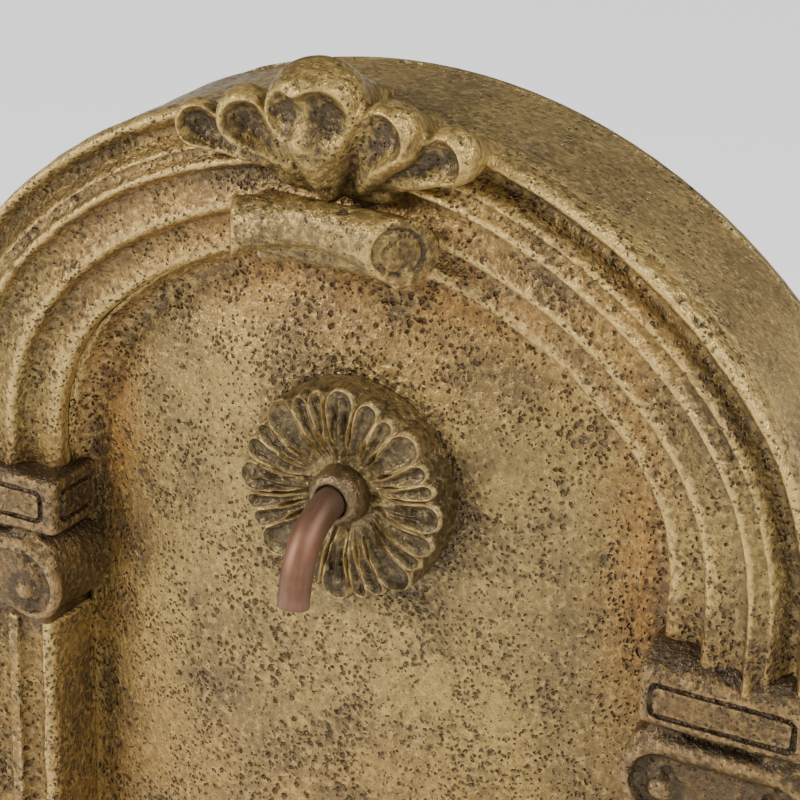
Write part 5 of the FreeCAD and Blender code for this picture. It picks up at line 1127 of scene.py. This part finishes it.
rosette_mesh = weather(ring_mesh("rosette_mesh", points), reach=0.0022, holes=0.0, lump=0.00025, seed=19)
back_columns = points.shape[1] - tint.shape[1]
tint = np.hstack([np.clip(tint, -1, 1), np.full((len(angles), back_columns), -0.3)])
rosette_mesh.attributes["wear_and_shade"].data.foreach_set("value", tint.ravel().astype(np.float32))
leaf_stone = patina(
    "patina_leaf", (0.22, 0.155, 0.060), (0.095, 0.066, 0.028), pits=0.2, crust=0.7, grime=0.95, rub=2.3
)
settle("leaf_rosette", rosette_mesh, leaf_stone, "fountain", "patina_casting", "rosette")

# Spout and collar
# A bent half-inch copper tube, cut square at its end, that turns in a dark bronze collar. The
# elbow and locknut behind the panel are brass.


def lathe(name, profile, sides):
    """A profile of (radius, distance along the spout's axis from the face plane) turned round the axis."""
    turn = np.linspace(0, 2 * np.pi, sides, endpoint=False)
    ring, along = profile[None, :, 0], profile[None, :, 1]
    points = np.stack([ring * np.sin(turn)[:, None], np.broadcast_to(FACE + along, (sides, ring.shape[1])),
                       ROSETTE_UP + ring * np.cos(turn)[:, None]], axis=-1)
    return ring_mesh(name, points)


collar_profile = smooth_curve(
    [(0.0082, -0.0100), (0.0083, -0.0138), (0.0096, -0.0150), (0.0118, -0.0143), (0.0138, -0.0118),
     (0.0149, -0.0080), (0.0153, -0.0040), (0.0160, -0.0010), (0.0178, 0.0010), (0.0192, 0.0022)],
    60,
)
collar_profile = np.vstack([collar_profile, [(0.0192, 0.0072), (0.0102, 0.0072), (0.0102, -0.0080)]])
collar_mesh = weather(lathe("collar_mesh", collar_profile, 160), reach=0.002, lump=0.0002, holes=0.0, seed=20)
dark_bronze = patina("dark_bronze", (0.110, 0.070, 0.028), (0.034, 0.023, 0.012), pits=0.2, crust=0.5)
dark_bronze.node_tree.nodes["Principled BSDF"].inputs["Metallic"].default_value = 0.55
settle("bronze_collar", collar_mesh, dark_bronze, "fountain", "dark_bronze", "spout_collar")

copper, copper_shader, use = new_finish("copper_tube")
place = use.add("TexCoord").outputs["Object"]
draw = use.add("Mapping")
draw.inputs["Scale"].default_value = (420.0, 40.0, 40.0)
use.join(place, draw.inputs["Vector"])
scratch = use.add("TexNoise", scale=1.0, detail=5.0)
use.join(draw.outputs["Vector"], scratch.inputs["Vector"])
bloom = use.add("TexNoise", scale=55.0, detail=5.0)
use.join(place, bloom.inputs["Vector"])
tone = use.mix(use.span(bloom.outputs["Fac"], 0.34, 0.66), (0.120, 0.052, 0.025), (0.205, 0.098, 0.053))
tone = use.mix(
    use.math("MULTIPLY", use.span(scratch.outputs["Fac"], 0.52, 0.75), 0.55), tone, (0.22, 0.150, 0.112)
)
back = use.add("SeparateXYZ")
use.join(place, back.inputs["Vector"])
tone = use.mix(use.span(back.outputs["Y"], 0.086, 0.114, 0.0, 0.88), tone, (0.078, 0.048, 0.028))
use.join(tone, copper_shader.inputs["Base Color"])
use.join(use.span(scratch.outputs["Fac"], 0.3, 0.7, 0.46, 0.6), copper_shader.inputs["Roughness"])
copper_shader.inputs["Metallic"].default_value = 0.55
use.relief(scratch.outputs["Fac"], 0.25, 0.0002)

TUBE, BORE, BEND = 0.00795, 0.00685, 0.036
bend_start = 0.118
turn = np.radians(np.linspace(0, 80, 44))
bend_line = np.stack([bend_start - BEND * np.sin(turn), ROSETTE_UP - BEND * (1 - np.cos(turn))], axis=1)
bend_way = np.stack([-np.cos(turn), -np.sin(turn)], axis=1)
tip_line = bend_line[-1] + bend_way[-1] * np.array([0.006, 0.012])[:, None]
tube_line = np.vstack([[(0.171, ROSETTE_UP), (0.140, ROSETTE_UP)], bend_line, tip_line])
tube_way = np.vstack([[(-1, 0), (-1, 0)], bend_way, bend_way[-1:], bend_way[-1:]])
around = np.linspace(0, 2 * np.pi, 72, endpoint=False)


def tube_rings(radius, line, way):
    """Rings of points round the spout's middle line, each square to its way there."""
    side = np.stack([-way[:, 1], way[:, 0]], axis=1)
    across = np.broadcast_to(radius * np.sin(around)[None, :], (len(line), len(around)))
    offset = radius * np.cos(around)
    return np.stack([across, line[:, None, 0] + side[:, None, 0] * offset,
                     line[:, None, 1] + side[:, None, 1] * offset], axis=-1)


lip = tube_rings(TUBE - 0.0004, tube_line[-1:] + tube_way[-1:] * 0.0003, tube_way[-1:])
lip_in = tube_rings(BORE + 0.0003, tube_line[-1:] + tube_way[-1:] * 0.0003, tube_way[-1:])
rings = np.vstack([tube_rings(TUBE, tube_line, tube_way), lip, lip_in,
                   tube_rings(BORE, tube_line, tube_way)[::-1]])
settle("copper_spout", ring_mesh("spout_mesh", rings), copper, "spout", "copper", "spout_tube")
brass = plain_finish(
    "brass_fittings", (0.60, 0.43, 0.165), (0.42, 0.29, 0.10), 0.34, metallic=1.0, size=110.0
)
coat(brass, "bulkhead_elbow", "bulkhead_locknut")

# Access door
# A cast panel in the back of the basin on two brass butt hinges, held shut by a brass turn button.
# Small round-head screws fix the hinge leaves.

door_mesh = weather(softened("access_door", 0.0017, 3), reach=0.004, seed=21)
settle("bay_door", door_mesh, cast_stone, "access_door", "patina_casting", "access_door")
coat(brass, "door_leaves", "frame_leaves", "turn_button")
coat(steel, "hinge_pins", "turn_button_screw")
hinge_spots = {
    "access_door": [(-0.088, 0.2104, z) for z in (0.1783, 0.2523)],
    "fountain": [(-0.1155, 0.2104, z) for z in (0.167, 0.1905, 0.241, 0.2645)],
}
for body, spots in hinge_spots.items():
    heads = set_out(
        f"hinge_screws_{body}",
        spots,
        (-math.pi / 2, 0.0, 0.0),
        lambda tree, entry: turned_disc(tree, entry, "Head", "Depth", 24, 0.6),
        {"Head": 0.0026, "Depth": 0.0011},
        brass,
    )
    settle(f"hinge_screws_on_{body}", heads, brass, body, "brass")

# Studio
# A plain pale floor and sky, three broad soft lamps, and a camera at the photograph's viewing
# angle. None of it belongs to the fountain.

floor_mesh = bpy.data.meshes.new("studio_floor_mesh")
floor_reach = 14
floor_corners = [(x * floor_reach, y * floor_reach, 0) for x, y in ((-1, -1), (1, -1), (1, 1), (-1, 1))]
floor_mesh.from_pydata(floor_corners, [], [(0, 1, 2, 3)])
studio_floor = in_scene("studio_floor", floor_mesh)
floor_paint, floor_shader, _ = new_finish("pale_floor")
floor_shader.inputs["Base Color"].default_value = (0.90, 0.90, 0.90, 1)
floor_shader.inputs["Roughness"].default_value = 0.9
floor_shader.inputs["Emission Color"].default_value = (1, 1, 1, 1)
floor_shader.inputs["Emission Strength"].default_value = 1.1
floor_mesh.materials.append(floor_paint)

sky = bpy.data.worlds.new("studio_sky")
sky.use_nodes = True
sky.node_tree.nodes["Background"].inputs["Color"].default_value = (1, 1, 1, 1)
sky.node_tree.nodes["Background"].inputs["Strength"].default_value = 0.14
bpy.context.scene.world = sky
lit_point = (0, 0.1, 0.95)


def lamp(name, spot, width, power):
    """A square soft lamp that faces the head of the niche."""
    data = bpy.data.lights.new(name, "AREA")
    data.shape = "RECTANGLE"
    data.size = data.size_y = width
    data.energy = power
    holder = in_scene(name, data)
    holder.location = spot
    holder.rotation_mode = "QUATERNION"
    holder.rotation_quaternion = (Vector(lit_point) - Vector(spot)).to_track_quat("-Z", "Y")


lamp("key", (-1.7, -1.6, 2.1), 0.9, 90)
lamp("fill", (1.6, -0.15, 2.5), 1.0, 62)
lamp("front", (0.6, -2.4, 1.7), 1.4, 5)

yaw, pitch, roll = math.radians(-28), math.radians(-23), math.radians(1.6)
forward = Vector((math.sin(yaw) * math.cos(pitch), math.cos(yaw) * math.cos(pitch), math.sin(pitch)))
level = Vector((math.cos(yaw), -math.sin(yaw), 0))
above = level.cross(forward)
right = math.cos(roll) * level + math.sin(roll) * above
upward = -math.sin(roll) * level + math.cos(roll) * above
lens = bpy.data.cameras.new("photo_camera")
lens.sensor_width = 36.0
lens.lens = 120.6
camera = in_scene("photo_camera", lens)
camera_spot = (0.5795, -0.9062, 1.4518)
turn_matrix = Matrix((right, upward, -forward)).transposed()
camera.matrix_world = Matrix.Translation(camera_spot) @ turn_matrix.to_4x4()
bpy.context.scene.camera = camera
